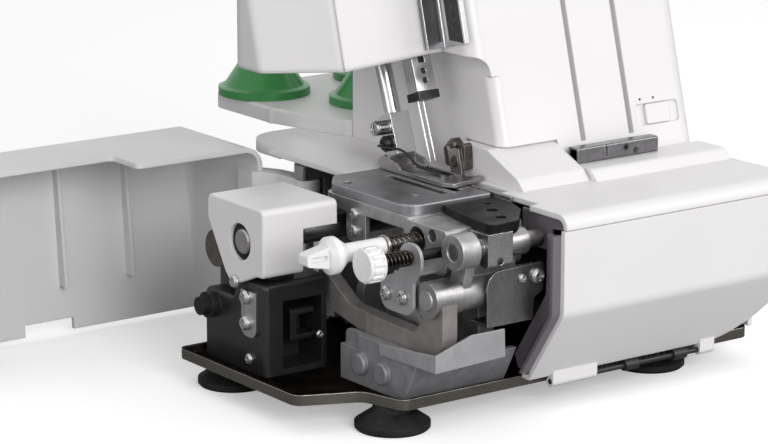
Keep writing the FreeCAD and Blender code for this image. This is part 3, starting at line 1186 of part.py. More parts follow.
def cover_body(inset):
    """Solid of head and column, drawn in by an inset: leaning front, straight back, throat under the head."""
    depth = BODY_TOP - BED_LEVEL + 30.0
    start = BED_LEVEL - 15.0
    back = 15.0 * FRONT_SLOPE
    far = BODY_REAR + 60.0
    plan = [(BODY_RIGHT, COLUMN_FRONT - back, 12), (BODY_RIGHT, far), (HEAD_LEFT, far),
            (HEAD_LEFT, HEAD_PANEL_Y - back, 6), (HEAD_SEAM, HEAD_FRONT - back, 4),
            (STEP_X, HEAD_FRONT - back, STEP_TURN), (STEP_X, COLUMN_FRONT - back, 8)]
    post = [(BODY_RIGHT, COLUMN_FRONT - back, 12), (BODY_RIGHT, far), (COLUMN_LEFT, far),
            (COLUMN_LEFT, COLUMN_FRONT - back, 6)]
    turn = 0.0 if inset else 1.0
    rear = [(HEAD_LEFT, -60.0), (BODY_RIGHT, -60.0), (BODY_RIGHT, BODY_REAR, 12 * turn),
            (HEAD_REAR_X, BODY_REAR, 20 * turn), (HEAD_LEFT, HEAD_REAR_LEFT, 12 * turn)]
    low = BED_LEVEL - 2.0 * inset
    throat = [(HEAD_LEFT, HEAD_LOW), (COLUMN_LEFT, HEAD_LOW_RIGHT, 8), (COLUMN_LEFT, low),
              (BODY_RIGHT, low),
              (BODY_RIGHT, BODY_TOP, 22), (HEAD_LEFT, BODY_TOP, 14)]
    top_y = COLUMN_FRONT + (BODY_TOP - BED_LEVEL) * FRONT_SLOPE
    side = [(top_y - 80.0, BED_LEVEL - 40.0), (BODY_REAR + 1.0, BED_LEVEL - 40.0),
            (BODY_REAR + 1.0, BODY_TOP, 16),
            (top_y + 3.0, BODY_TOP, 18), (top_y - 5.0, BODY_TOP - 30.0)]

    def drawn_in(plane, corners, level):
        face = Part.Face(outline(plane, corners, level))
        return face.makeOffset2D(-inset) if inset else face

    rise = V(0, FRONT_SLOPE, 1)
    upper = drawn_in("z", plan, start).extrude(rise * depth)
    upper = upper.cut(block(HEAD_LEFT - 1, BODY_RIGHT + 1, -60.0, far + 60.0, start - 1, HEAD_LOW - 4))
    solid = joined([upper, drawn_in("z", post, start).extrude(rise * depth)])
    solid = solid.common(drawn_in("z", rear, low - 5.0).extrude(AXIS_Z * (depth + 20.0)))
    solid = solid.common(drawn_in("y", throat, -50.0).extrude(AXIS_Y * (far + 50.0)))
    return solid.common(drawn_in("x", side,
                                 HEAD_LEFT - 5.0).extrude(AXIS_X * (BODY_RIGHT - HEAD_LEFT + 10.0)))


COVER_SHELL = cover_body(0.0).cut(cover_body(COVER))


def shell_part(x0, x1, y0, y1):
    """Part of the head and column shell between two X and two Y levels."""
    return COVER_SHELL.common(block(x0, x1, y0, y1, BED_LEVEL, BODY_TOP + 1))


def face_cover():
    return shell_part(HEAD_LEFT - 1, HEAD_SEAM, 0.0, PARTING_Y)


def head_cover():
    """Head front and underside, open below where the needle bar and the presser bar come through."""
    front = HEAD_FRONT + (HEAD_LOW - BED_LEVEL) * FRONT_SLOPE + COVER + 1.5
    opening = block(NEEDLE_BAR_X - 10, STEP_X - SEAM, front, PARTING_Y - 8, HEAD_LOW - 2,
                    HEAD_LOW_RIGHT + 5)
    return shell_part(HEAD_SEAM + SEAM, STEP_X - SEAM, 0.0, PARTING_Y).cut(opening)


def column_cover():
    """Column front with thread troughs, dial windows, the selector recess and room for the knife guard."""
    up = 1.0 / math.cos(math.radians(FRONT_LEAN))
    low = (SLOT_LOW - BED_LEVEL) * up
    high = (DIAL_Z - DIAL_R - 2 - BED_LEVEL) * up
    wide = SLOT_WIDTH / 2.0
    troughs = [front_box(x - wide - SLOT_WALL, x + wide + SLOT_WALL, COVER - 1, SLOT_DEPTH + SLOT_WALL,
                         low - SLOT_WALL, high - 6) for x in SLOT_XS]
    slots = [front_box(x - wide, x + wide, -1, SLOT_DEPTH, low, high) for x in SLOT_XS]
    windows = [rod("x", DIAL_Y, DIAL_Z, DIAL_R + 0.8, x - DIAL_WIDTH / 2 - 0.8, x + DIAL_WIDTH / 2 + 0.8)
               for x in DIAL_XS]
    middle = selector_middle()
    tall = SELECTOR_TALL / 2.0
    recess = front_box(SELECTOR_X - SELECTOR_WIDE / 2, SELECTOR_X + SELECTOR_WIDE / 2, -1, SELECTOR_RECESS,
                       middle - tall, middle + tall, 2.2)
    reach = 3.0 + SELECTOR_TRAVEL + SEAM
    stem_slot = front_box(SELECTOR_X - reach, SELECTOR_X + reach, 0, COVER + 1, middle - 2.0, middle + 2.0)
    guard_room = block(COLUMN_LEFT - 1, GUARD_RIGHT + SEAM, 0.0, GUARD_REAR + SEAM, BED_LEVEL - 1,
                       GUARD_TOP + SEAM)
    body = joined([shell_part(STEP_X, BODY_RIGHT + 1, 0.0, PARTING_Y)] + troughs)
    return less(body, slots + windows + [recess, stem_slot, guard_room])


def rear_cover():
    """One moulding for the back of head and column, the lower back and the bed behind the needle plate."""
    upper = shell_part(HEAD_LEFT - 1, BODY_RIGHT + 1, PARTING_Y + SEAM, BODY_REAR + 1)
    wall = block(REAR_LEFT, BODY_RIGHT, BODY_REAR - COVER, BODY_REAR, LOWER_EDGE, BED_LEVEL)
    end = block(REAR_LEFT, REAR_LEFT + COVER, PARTING_Y + 14, BODY_REAR, LOWER_EDGE, BED_LEVEL)
    bed = block(REAR_BED_LEFT, COLUMN_LEFT, NEEDLE_PLATE_REAR + SEAM, BODY_REAR, BED_LEVEL - COVER,
                BED_LEVEL)
    sill = block(COLUMN_LEFT - 1, COLUMN_LEFT + COVER, PARTING_Y + SEAM, BODY_REAR, BED_LEVEL - COVER,
                 BED_LEVEL)
    shelf = block(COLUMN_LEFT - 1, END_COVER_X - SEAM, PARTING_Y + 14, BODY_REAR, BED_LEVEL - COVER,
                  BED_LEVEL)
    slot = block(LEVER_X - LEVER_THICK / 2 - 1.5, LEVER_X + LEVER_THICK / 2 + 1.5, BODY_REAR - 20,
                 BODY_REAR + 1,
                 HEAD_LOW - 3, LEVER_Z + 8)
    return joined([upper, wall, end, bed, sill, shelf, tray_ledge()]).cut(slot)


def tray_ledge():
    """Hollow ledge behind the rear cover, level with the bed, on which the spool tray stands."""
    def plan(inset):
        rear = LEDGE_REAR - inset
        return [(LEDGE_LEFT + inset, BODY_REAR - 1), (LEDGE_RIGHT - inset, BODY_REAR - 1),
                (LEDGE_RIGHT - inset, rear, 10 - inset), (LEDGE_LEFT + inset, rear, 20 - inset)]

    hollow = prism("z", plan(COVER), LEDGE_LOW - 1, BED_LEVEL - COVER)
    return prism("z", plan(0.0), LEDGE_LOW, BED_LEVEL).cut(hollow)


def bed_cover():
    """Bed top with a rounded front edge, a raised ridge and a gap for the knives."""
    side = [(BED_REAR, BED_LEVEL - COVER), (BED_REAR, BED_LEVEL), (LOOPER_FACE, BED_LEVEL, 6.5),
            (LOOPER_FACE, BED_PARTING), (LOOPER_FACE + COVER, BED_PARTING),
            (LOOPER_FACE + COVER, BED_LEVEL - COVER, 4)]
    top = prism("x", side, BED_LEFT, BODY_RIGHT)
    ridge = prism("x", [(RIDGE_FRONT, BED_LEVEL - 1), (RIDGE_REAR, BED_LEVEL - 1),
                        (RIDGE_REAR, RIDGE_TOP, 1),
                        (RIDGE_FRONT + 6, RIDGE_TOP, 4)], RIDGE_LEFT, END_COVER_X - SEAM)
    gap = [block(BED_LEFT - 1, LOWER_KNIFE_X + 2.5, -18.0, BED_REAR + 1, BED_PARTING, BED_LEVEL + 1),
           block(BED_LEFT - 1, BED_GAP_RIGHT, NEEDLE_PLATE_FRONT - 2.5, BED_REAR + 1, BED_PARTING,
                 BED_LEVEL + 1),
           block(BED_LEFT - 1, COLUMN_LEFT + SEAM, NEEDLE_PLATE_REAR, BED_REAR + 1, BED_PARTING,
                 BED_LEVEL + 1),
           block(END_COVER_X - SEAM, BODY_RIGHT + 1, END_FRONT - SEAM, BED_REAR + 1, BED_PARTING,
                 BED_LEVEL + 1)]
    return joined([less(top, gap), ridge])


def right_cover():
    """Right end plate with holes for shaft, knobs and switch, and the power inlet's box moulded on."""
    side = [(END_FRONT, LOWER_EDGE), (BODY_REAR - COVER - SEAM, LOWER_EDGE),
            (BODY_REAR - COVER - SEAM, BED_LEVEL - SEAM), (END_FRONT, BED_LEVEL - SEAM)]
    plate = prism("x", side, END_COVER_X, BODY_RIGHT)
    y0, y1, z0, z1 = INLET
    box = block(END_COVER_X - INLET_DEPTH, END_COVER_X + 1, y0, y1, z0, z1)
    well = block(END_COVER_X - INLET_DEPTH + 2, BODY_RIGHT + 1, y0 + 2, y1 - 2, z0 + 2, z1 - 2)
    pins = [block(END_COVER_X - INLET_DEPTH + 1, END_COVER_X - 3, y - 0.9, y + 0.9, (z0 + z1) / 2 - 2.0,
                  (z0 + z1) / 2 + 2.0) for y in (y0 + 6.0, y1 - 6.0)]
    holes = [rod("x", SHAFT_Y, SHAFT_Z, SHAFT_R + 0.6, END_COVER_X - 1, BODY_RIGHT + 1),
             rod("x", REGULATOR_Y, REGULATOR_Z, REGULATOR_R + 0.5, END_COVER_X - 1, BODY_RIGHT + 1),
             rod("x", LENGTH_KNOB_Y, LENGTH_KNOB_Z, REGULATOR_R + 0.5, END_COVER_X - 1, BODY_RIGHT + 1),
             block(END_COVER_X - 1, BODY_RIGHT + 1, SWITCH_Y - 0.6, SWITCH_Y + SWITCH_WIDE + 0.6,
                   SWITCH_Z - SWITCH_HALF - 0.6, SWITCH_Z + SWITCH_HALF + 0.6), well]
    return joined([less(joined([plate, box]), holes)] + pins)


def power_switch():
    """Rocker of the power and light switch."""
    return prism("y", [(END_COVER_X - 3, SWITCH_Z - SWITCH_HALF + 2),
                       (BODY_RIGHT + 0.8, SWITCH_Z - SWITCH_HALF),
                       (BODY_RIGHT + 1.6, SWITCH_Z, 12), (BODY_RIGHT + 0.8, SWITCH_Z + SWITCH_HALF),
                       (END_COVER_X - 3, SWITCH_Z + SWITCH_HALF - 2)], SWITCH_Y, SWITCH_Y + SWITCH_WIDE)


def thread_guide_bar():
    """Square tube in front of the column, closed at its right end, with a slot line in its front."""
    y0, z0 = THREAD_BAR_Y, THREAD_BAR_Z
    y1, z1 = y0 + THREAD_BAR_DEEP, z0 + THREAD_BAR_TALL
    w = THREAD_BAR_WALL
    tube = prism("x", [(y0, z0, 1), (y1, z0, 1), (y1, z1, 1), (y0, z1, 1)], THREAD_BAR_LEFT,
                 THREAD_BAR_RIGHT)
    hollow = block(THREAD_BAR_LEFT - 1, THREAD_BAR_RIGHT - w, y0 + w, y1 - w, z0 + w, z1 - w)
    split = THREAD_BAR_LEFT + 0.36 * (THREAD_BAR_RIGHT - THREAD_BAR_LEFT)
    return less(tube, [hollow, block(split - 0.4, split + 0.4, y0 - 1, y0 + w + 0.5, z0 + 1.5, z1 + 1)])


def thread_guides():
    """Chrome thread guide in the step: back strip, side strip with a thread slot, rolled front edge."""
    low, high = GUIDE_PLATE_LOW, GUIDE_PLATE_TOP
    step = (HEAD_FRONT - COLUMN_FRONT) * math.cos(math.radians(FRONT_LEAN))
    rear = step - STEP_TURN - SEAM
    side = front_box(STEP_X - GUIDE_PLATE, STEP_X, 0.8, rear, low, high)
    back = front_box(STEP_X - 11.0, STEP_X, rear - GUIDE_PLATE, rear, low, high)
    edge = front_box(STEP_X - 2.4, STEP_X, 0.8, 2.0, low, high)
    slot = front_box(STEP_X - 3.0, STEP_X + 1.0, step - 8.5, step - 5.0, low + 3, high - 8)
    return joined([side, back, edge]).cut(slot)


def selector_middle():
    """Height of the selector along the leaning front."""
    return (SELECTOR_Z - BED_LEVEL) / math.cos(math.radians(FRONT_LEAN))


def selector():
    """Thread tension selector: finger piece in its recess, stem through the wall and the plate behind it."""
    middle = selector_middle()
    half = SELECTOR_TALL / 2.0 - SEAM
    floor = SELECTOR_RECESS - SEAM
    finger = front_box(SELECTOR_X - SELECTOR_FINGER, SELECTOR_X + SELECTOR_FINGER, -0.5, floor,
                       middle - half, middle + half, 1.0)
    stem = front_box(SELECTOR_X - 3.0, SELECTOR_X + 3.0, floor - 0.5, COVER + 1.0, middle - 1.7,
                     middle + 1.7)
    plate = front_box(SELECTOR_X - 8.0, SELECTOR_X + 8.0, COVER + SEAM, COVER + 1.8, middle - 5.0,
                      middle + 5.0)
    return joined([finger, stem, plate])


def tension_dial(x):
    left = x - DIAL_WIDTH / 2.0
    wheel = ribbed("x", DIAL_Y, DIAL_Z, DIAL_R, left, left + DIAL_WIDTH, DIAL_RIBS, 0.8)
    return wheel.cut(rod("x", DIAL_Y, DIAL_Z, DIAL_AXLE_R + RUN, left - 1, left + DIAL_WIDTH + 1))


def looper_cover():
    """Front cover with a rounded lower corner and its lining; two lugs below turn on the hinge rod."""
    right = BODY_RIGHT
    rear = END_FRONT - SEAM
    top = LOOPER_TOP

    def outline_room(inset, left):
        return prism("y", [(left, LOOPER_LIP_Z + inset),
                           (right - inset, LOOPER_LIP_Z + inset, LOOPER_CORNER - inset),
                           (right - inset, top + 4 * inset), (left, top + 4 * inset)],
                     LOOPER_FACE - 1, rear + 4 * inset)

    def body(inset):
        far = rear + 4 * inset
        high = top + 4 * inset
        side = prism("x", [(LOOPER_FACE + inset, high), (LOOPER_FACE + inset, LOOPER_BREAK, 8 - inset),
                           (LOOPER_LIP_Y + inset, LOOPER_LIP_Z), (far, LOOPER_LIP_Z), (far, high)],
                     LOOPER_LEFT - inset, right)
        return side.common(outline_room(inset, LOOPER_LEFT - inset))

    shell = body(0.0).cut(body(COVER))
    inner = LOOPER_FACE + COVER
    deep = inner + LINING
    low = LOOPER_LIP_Z + 4.0
    foot = LOOPER_LIP_Y + COVER - 4.0 * (LOOPER_LIP_Y - LOOPER_FACE) / (LOOPER_BREAK - LOOPER_LIP_Z)
    lining = prism("x", [(inner, top - 2), (inner, LOOPER_BREAK, 6), (foot, low), (foot + LINING, low),
                         (deep, LOOPER_BREAK, 4), (deep, top - 2)], LINING_LEFT, right - COVER)
    pieces = [shell, lining.common(outline_room(1.0, LINING_LEFT - 1))]
    for x0, x1 in LUGS:
        pieces.append(block(x0, x1, ROD_Y - LUG_R, ROD_Y + LUG_R - 1, ROD_Z, LOOPER_LIP_Z + 2.5))
        pieces.append(rod("x", ROD_Y, ROD_Z, LUG_R, x0, x1))
    return joined(pieces).cut(rod("x", ROD_Y, ROD_Z, ROD_R + RUN, LOOPER_LEFT - 20, right + 20))


def hinge_rod():
    return rod("x", ROD_Y, ROD_Z, ROD_R, LUGS[0][0], LUGS[-1][1])


def side_cover():
    """Side cover drawn open: top plate, outer wall, end walls, ribs and two hinge arms."""
    def body(inset):
        plan = prism("z", [(SIDE_TIP + inset, SIDE_NEAR_NARROW - 30 * inset),
                           (SIDE_TIP + inset, SIDE_FAR - inset, 9 - inset),
                           (SIDE_END - inset, SIDE_FAR - inset, 9 - inset),
                           (SIDE_END - inset, SIDE_NEAR_WIDE - 30 * inset),
                           (SIDE_STEP_X, SIDE_NEAR_WIDE - 30 * inset, 3),
                           (SIDE_STEP_X, SIDE_NEAR_NARROW - 30 * inset, 3)],
                     SIDE_LOW - inset, BED_LEVEL)
        end = prism("y", [(SIDE_TIP + inset, SIDE_LOW - inset), (SIDE_END - inset, SIDE_LOW - inset),
                          (SIDE_END - inset, BED_LEVEL - inset, 10 - inset),
                          (SIDE_TIP + inset, BED_LEVEL - inset, 6 - inset)],
                    SIDE_NEAR_WIDE - 100, SIDE_FAR + 1)
        wall = prism("x", [(SIDE_NEAR_WIDE - 100, SIDE_LOW - inset),
                           (SIDE_FAR - SIDE_DRAFT - inset, SIDE_LOW - inset),
                           (SIDE_FAR - inset, BED_LEVEL - inset, 6 - inset),
                           (SIDE_NEAR_WIDE - 100, BED_LEVEL - inset)],
                     SIDE_TIP - 1, SIDE_END + 1)
        return plan.common(end).common(wall)

    shell = body(0.0).cut(body(COVER))
    ribs = []
    for x in SIDE_RIBS:
        rib = prism("x", [(SIDE_FAR - SIDE_DRAFT - COVER - 4, SIDE_RIB_LOW),
                          (SIDE_FAR - SIDE_DRAFT + 1, SIDE_RIB_LOW),
                          (SIDE_FAR - 1.5, BED_LEVEL - COVER + 1),
                          (SIDE_FAR - COVER - 4, BED_LEVEL - COVER + 1)],
                    x, x + SIDE_RIB)
        ribs.append(rib)
    notch = block(-67.0, -39.0, SIDE_FAR - 20, SIDE_FAR + 1, SIDE_LOW - 1, SIDE_LOW + 6)
    arms = []
    for z0, z1 in KNUCKLES:
        arms.append(prism("z", [(HINGE_X - 5, HINGE_Y), (HINGE_X + 5, HINGE_Y),
                                (HINGE_X + 1, HINGE_Y + 24, 8),
                                (SIDE_END - 1, HINGE_Y + 42), (SIDE_END - COVER - 3, HINGE_Y + 42),
                                (SIDE_END - COVER - 3, SIDE_NEAR_WIDE + 1, 2),
                                (HINGE_X - 6, HINGE_Y + 18, 6)], z0, z1))
        arms.append(rod("z", HINGE_X, HINGE_Y, KNUCKLE_R, z0, z1))
    body_all = joined([shell.cut(notch)] + ribs + arms)
    return body_all.cut(rod("z", HINGE_X, HINGE_Y, PIN_R + RUN, 0.0, BED_LEVEL))


def hinge_bracket():
    """Steel plate on the back of the frame with two lugs and the pin of the side cover."""
    low = KNUCKLES[0][0] - SEAM - HINGE_LUG
    high = KNUCKLES[1][1] + SEAM + HINGE_LUG
    rear = WEB_Y + WEB
    right = HINGE_X + KNUCKLE_R + 6
    pieces = [block(HINGE_X + KNUCKLE_R + SEAM, right, rear, rear + 4, low, high),
              rod("z", HINGE_X, HINGE_Y, PIN_R, low, high)]
    for z in (low, high - HINGE_LUG):
        pieces.append(prism("z", [(HINGE_X - KNUCKLE_R, HINGE_Y + KNUCKLE_R, 5),
                                  (HINGE_X - KNUCKLE_R, rear, 2),
                                  (right, rear), (right, HINGE_Y + KNUCKLE_R, 3)], z, z + HINGE_LUG))
    return joined(pieces)


def spool_tray():
    """Tray behind the machine with four spool pins and the tube of the thread stand."""
    low = BED_LEVEL
    front = BODY_REAR + SEAM

    def plan(inset):
        return [(TRAY_FRONT_LEFT + inset, front + inset, 3 - inset),
                (TRAY_RIGHT - inset, front + inset, 3 - inset),
                (TRAY_RIGHT - inset, TRAY_REAR - inset, 14 - inset),
                (TRAY_LEFT + inset, TRAY_REAR - inset, 14 - inset),
                (TRAY_LEFT + inset, TRAY_BEND_Y, 4)]

    body = prism("z", plan(0.0), low, TRAY_TOP)
    rim = [e for e in body.Edges if e.BoundBox.ZLength < 1e-6 and e.BoundBox.ZMin > TRAY_TOP - 0.1]
    body = body.makeFillet(1.5, rim)
    hollow = prism("z", plan(TRAY_WALL), low - 1, TRAY_TOP - TRAY_WALL)
    post = rod("z", TRAY_LEFT + 1.2, TRAY_BEND_Y, 2.0, low, TRAY_TOP - 0.5)
    pins = [Part.makeCylinder(SPOOL_PIN_R, SPOOL_PIN, V(x, y, TRAY_TOP - 1)) for x, y in SPOOLS]
    tube = rod("z", MAST_X, MAST_Y, MAST_R, low, TRAY_TOP + MAST_HEIGHT)
    bore = rod("z", MAST_X, MAST_Y, MAST_BORE, low + 3, TRAY_TOP + MAST_HEIGHT + 1)
    return joined([body.cut(hollow), post, tube] + pins).cut(bore)


def cone_holders():
    profile = [V(SPOOL_PIN_R + RUN, 0, 0), V(CONE_R, 0, 0), V(CONE_R, 0, CONE_RIM),
               V(CONE_R - 3, 0, CONE_RIM + 1),
               V(CONE_WAIST_R, 0, CONE_WAIST), V(CONE_TIP_R, 0, CONE_HEIGHT),
               V(SPOOL_PIN_R + RUN, 0, CONE_HEIGHT),
               V(SPOOL_PIN_R + RUN, 0, 0)]
    cone = Part.Face(Part.makePolygon(profile)).revolve(V(0, 0, 0), AXIS_Z, 360)
    return Part.makeCompound([cone.translated(V(x, y, TRAY_TOP)) for x, y in SPOOLS])


def stand_pole():
    """Sliding pole of the thread stand with its guide bar and four thread eyes."""
    pole = rod("z", MAST_X, MAST_Y, POLE_R, TRAY_TOP, POLE_TOP)
    bar = prism("z", [(MAST_X - BAR_HALF, MAST_Y - 6, 5), (MAST_X + BAR_HALF, MAST_Y - 6, 5),
                      (MAST_X + BAR_HALF, MAST_Y + 6, 5), (MAST_X - BAR_HALF, MAST_Y + 6, 5)],
                POLE_TOP - 3, POLE_TOP)
    return less(joined([pole, bar]), [rod("z", x, MAST_Y, EYE_R, POLE_TOP - 4, POLE_TOP + 1) for x,
                                      y in SPOOLS])


def whole_base():
    """Base plate with the hinge rod's blocks and the ribbed strip on its front edge."""
    rear = PLATE_FRONT + SHEET
    pieces = [base_plate()]
    for x0, x1 in HINGE_BLOCKS:
        pieces.append(rod("x", ROD_Y, ROD_Z, HINGE_BLOCK_R, x0, x1))
        pieces.append(block(x0, x1, ROD_Y, rear, ROD_Z - HINGE_BLOCK_R + 0.6, ROD_Z + HINGE_BLOCK_R - 0.3))
    for i in range(int((RIB_RIGHT - RIB_LEFT) / RIB_PITCH)):
        x = RIB_LEFT + RIB_PITCH * i
        pieces.append(block(x, x + RIB_PITCH / 2.0, PLATE_FRONT - RIB_PROUD, PLATE_FRONT + 1, RIB_LOW,
                            DECK + 1.5))
    holes = [rod("x", ROD_Y, ROD_Z, ROD_R + RUN, x0 - 1, x1 + 1) for x0, x1 in HINGE_BLOCKS]
    return less(joined(pieces), holes)


NODES = {
    "base_plate": whole_base(),
    "rubber_feet": rubber_feet(),
    "frame_casting": frame_casting(),
    "motor": motor(),
    "drive_belt": drive_belt(),
    "feed_housing": feed_housing(),
    "screws": screws(),
    "guide_bracket": guide_bracket(),
    "feed_cover": feed_cover(),
    "looper_housing": looper_housing(),
    "needle_plate": needle_plate(),
    "front_casting": front_casting(),
    "knob_bracket": knob_bracket(),
    "knife_bracket": knife_bracket(),
    "guard_plate": guard_plate(),
    "chip_guard": chip_guard(),
    "lower_knife": lower_knife(),
    "knife_guard": knife_guard(),
    "bar_guide": bar_guide(),
    "face_cover": face_cover(),
    "head_cover": head_cover(),
    "column_cover": column_cover(),
    "rear_cover": rear_cover(),
    "bed_cover": bed_cover(),
    "right_cover": right_cover(),
    "thread_guide_bar": thread_guide_bar(),
    "thread_guides": thread_guides(),
    "hinge_bracket": hinge_bracket(),
    "spool_tray": spool_tray(),
    "cone_holders": cone_holders(),
    "main_shaft": main_shaft(),
    "handwheel": handwheel(),
    "motor_pulley": motor_pulley(),
    "differential_knob": differential_knob(),
    "stitch_length_knob": stitch_length_knob(),
    "release_shaft": release_shaft(),
    "release_knob": release_knob(),
    "release_spring": release_spring(),
    "width_knob": width_knob(),
    "width_spring": width_spring(),
    "knife_drive_arm": knife_drive_arm(),
    "knife_shaft": knife_shaft(),
    "upper_knife": upper_knife(),
    "feed_dogs": feed_dogs(),
    "lower_looper": lower_looper(),
    "upper_looper": upper_looper(),
    "needle_bar": needle_bar(),
    "presser_bar": presser_bar(),
    "presser_foot": presser_foot(),
    "presser_lever": presser_lever(),
    "looper_cover": looper_cover(),
    "hinge_rod": hinge_rod(),
    "side_cover": side_cover(),
    "selector": selector(),
    "power_switch": power_switch(),
    "stand_pole": stand_pole(),
}
for number, dial_x in enumerate(DIAL_XS, 1):
    NODES["tension_dial_%d" % number] = tension_dial(dial_x)

# Shift so that the zero point is on the table in the middle of the whole machine
box = Part.makeCompound(list(NODES.values())).optimalBoundingBox(False, False)
shift = V(-box.Center.x, -box.Center.y, -box.ZMin)
print("shift", round(shift.x, 4), round(shift.y, 4), round(shift.z, 4))
os.makedirs("parts", exist_ok=True)
for name, shape in NODES.items():
    shape.translated(shift).exportStep("parts/%s.step" % name)
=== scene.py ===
import math

import bmesh
import bpy
from mathutils import Matrix, Vector


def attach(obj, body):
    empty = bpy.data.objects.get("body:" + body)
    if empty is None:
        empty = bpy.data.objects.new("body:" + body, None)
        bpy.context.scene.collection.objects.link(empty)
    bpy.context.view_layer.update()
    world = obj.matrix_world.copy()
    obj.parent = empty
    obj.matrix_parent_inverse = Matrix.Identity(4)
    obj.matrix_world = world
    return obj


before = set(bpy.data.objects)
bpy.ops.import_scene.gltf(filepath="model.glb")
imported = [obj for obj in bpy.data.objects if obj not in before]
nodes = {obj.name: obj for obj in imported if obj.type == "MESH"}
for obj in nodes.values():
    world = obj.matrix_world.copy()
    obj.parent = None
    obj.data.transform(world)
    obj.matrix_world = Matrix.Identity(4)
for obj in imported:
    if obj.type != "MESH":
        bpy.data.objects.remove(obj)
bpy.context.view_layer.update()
scene = bpy.context.scene
scene.view_settings.view_transform = "Standard"

# The drawing is in millimetres, and its origin is the front left foot's centre
DRAWING_ORIGIN = Vector((-0.050, -0.1075, 0.0))
MM = 0.001
X, Y, Z = range(3)
LEFT = Vector((-1.0, 0.0, 0.0))
FRONT = Vector((0.0, -1.0, 0.0))
UP = Vector((0.0, 0.0, 1.0))

# Camera of the photograph, in the drawing's millimetres
CAMERA_AT = (-780.6, -1067.9, 422.4)
CAMERA_TURN = math.radians(36.0)
CAMERA_DIP = math.radians(13.86)
CAMERA_FOCAL = 142.9
CAMERA_SENSOR = 36.0
CAMERA_REACH = 20.0

# Floor and world: what the camera sees, and what lights the object
FLOOR_HALF = 6.0
FLOOR_ROUGH = 0.9
FLOOR_SEEN = (0.9, 0.9, 0.9)
FLOOR_BOUNCE = (0.36, 0.36, 0.36)
FLOOR_GLOW = 0.35
WORLD_SEEN = 1.0
WORLD_LIGHT = 0.46
WHITE_LIGHT = (1.0, 1.0, 1.0, 1.0)

# Lamps: place in metres, size in metres and power in watts
LAMP_AIM = (0.0, 0.0, 0.1)
LAMPS = {
    "key": ((-0.40, -1.9, 0.80), 1.1, 23.0),
    "side": ((1.5, -1.2, 1.0), 1.2, 10.0),
    "left": ((-1.9, -0.2, 0.5), 1.2, 4.5),
    "top": ((0.1, 0.5, 1.8), 1.2, 3.0),
}

# Leaning front of the column
FRONT_LEAN = math.radians(15.0)
FRONT_UP = Vector((0.0, math.sin(FRONT_LEAN), math.cos(FRONT_LEAN)))
FRONT_OUT = Vector((0.0, -math.cos(FRONT_LEAN), math.sin(FRONT_LEAN)))
BED_LEVEL = 98.0
COLUMN_FRONT = 25.0

# Leaning needle bar and presser bar
LEAN = math.radians(20.0)
LEAN_UP = Vector((0.0, math.sin(LEAN), math.cos(LEAN)))
LEAN_BACK = Vector((0.0, math.cos(LEAN), -math.sin(LEAN)))
NEEDLE_FOOT = Vector((66.5, 67.0, 136.5))
PRESSER_FOOT = Vector((64.0, 87.2, 123.0))
UPPER_BOSS = PRESSER_FOOT - LEAN_UP * 6.0
LOWER_BOSS = PRESSER_FOOT - LEAN_UP * 14.0


def place(x, y, z):
    """Point of the drawing, in metres in the model's frame."""
    return DRAWING_ORIGIN + Vector((x, y, z)) * MM


def drawing(point):
    """Point of the model's frame, in the drawing's millimetres."""
    return (point - DRAWING_ORIGIN) / MM


def front_at(z):
    """Depth of the column's leaning front at a height."""
    return COLUMN_FRONT + (z - BED_LEVEL) * math.tan(FRONT_LEAN)


# Building blocks of the materials

EVEN = (1.0, 1.0, 1.0)
EDGE_SAMPLES = 6
# Width of the edge band, used for real wear and for painted edge highlights
EDGE_MARK_BEGINS = 0.02
EDGE_MARK_FULL = 0.2


def shader_of(name):
    """New material with its node tree and its shader node."""
    material = bpy.data.materials.new(name)
    material.use_nodes = True
    return material, material.node_tree, material.node_tree.nodes["Principled BSDF"]


def noise(tree, scale, detail, stretch=EVEN):
    """Noise in the object's own space, scale in waves per metre."""
    where = tree.nodes.new("ShaderNodeTexCoord")
    mapping = tree.nodes.new("ShaderNodeMapping")
    mapping.inputs["Scale"].default_value = stretch
    texture = tree.nodes.new("ShaderNodeTexNoise")
    texture.inputs["Scale"].default_value = scale
    texture.inputs["Detail"].default_value = detail
    tree.links.new(where.outputs["Object"], mapping.inputs["Vector"])
    tree.links.new(mapping.outputs["Vector"], texture.inputs["Vector"])
    return texture.outputs["Fac"]


def ranged(tree, factor, low, high, start=0.3, end=0.7):
    """Factor stretched from start and end to low and high."""
    node = tree.nodes.new("ShaderNodeMapRange")
    node.inputs["From Min"].default_value = start
    node.inputs["From Max"].default_value = end
    node.inputs["To Min"].default_value = low
    node.inputs["To Max"].default_value = high
    tree.links.new(factor, node.inputs["Value"])
    return node.outputs["Result"]


def between(tree, factor, first, second):
    """Colour between two colours, or between a node's colour and a colour."""
    node = tree.nodes.new("ShaderNodeMix")
    node.data_type = "RGBA"
    tree.links.new(factor, node.inputs["Factor"])
    for socket, colour in ((node.inputs["A"], first), (node.inputs["B"], second)):
        if isinstance(colour, tuple):
            socket.default_value = (*colour, 1.0)
        else:
            tree.links.new(colour, socket)
    return node.outputs["Result"]


def soft_edges(tree, radius):
    """Normal that rounds the sharp edges by a small radius, in metres."""
    node = tree.nodes.new("ShaderNodeBevel")
    node.samples = EDGE_SAMPLES
    node.inputs["Radius"].default_value = radius
    return node.outputs["Normal"]


def wear_and_highlight_edges(tree, radius):
    """1 along sharp edges and 0 elsewhere: where handling wears a surface, and where plated metal gets its
    painted edge highlight.
    """
    rounded = soft_edges(tree, radius)
    geometry = tree.nodes.new("ShaderNodeNewGeometry")
    turn = tree.nodes.new("ShaderNodeVectorMath")
    turn.operation = "DOT_PRODUCT"
    tree.links.new(rounded, turn.inputs[0])
    tree.links.new(geometry.outputs["Normal"], turn.inputs[1])
    return ranged(tree, turn.outputs["Value"], 1.0, 0.0, start=1.0 - EDGE_MARK_FULL, end=1.0 - EDGE_MARK_BEGINS)


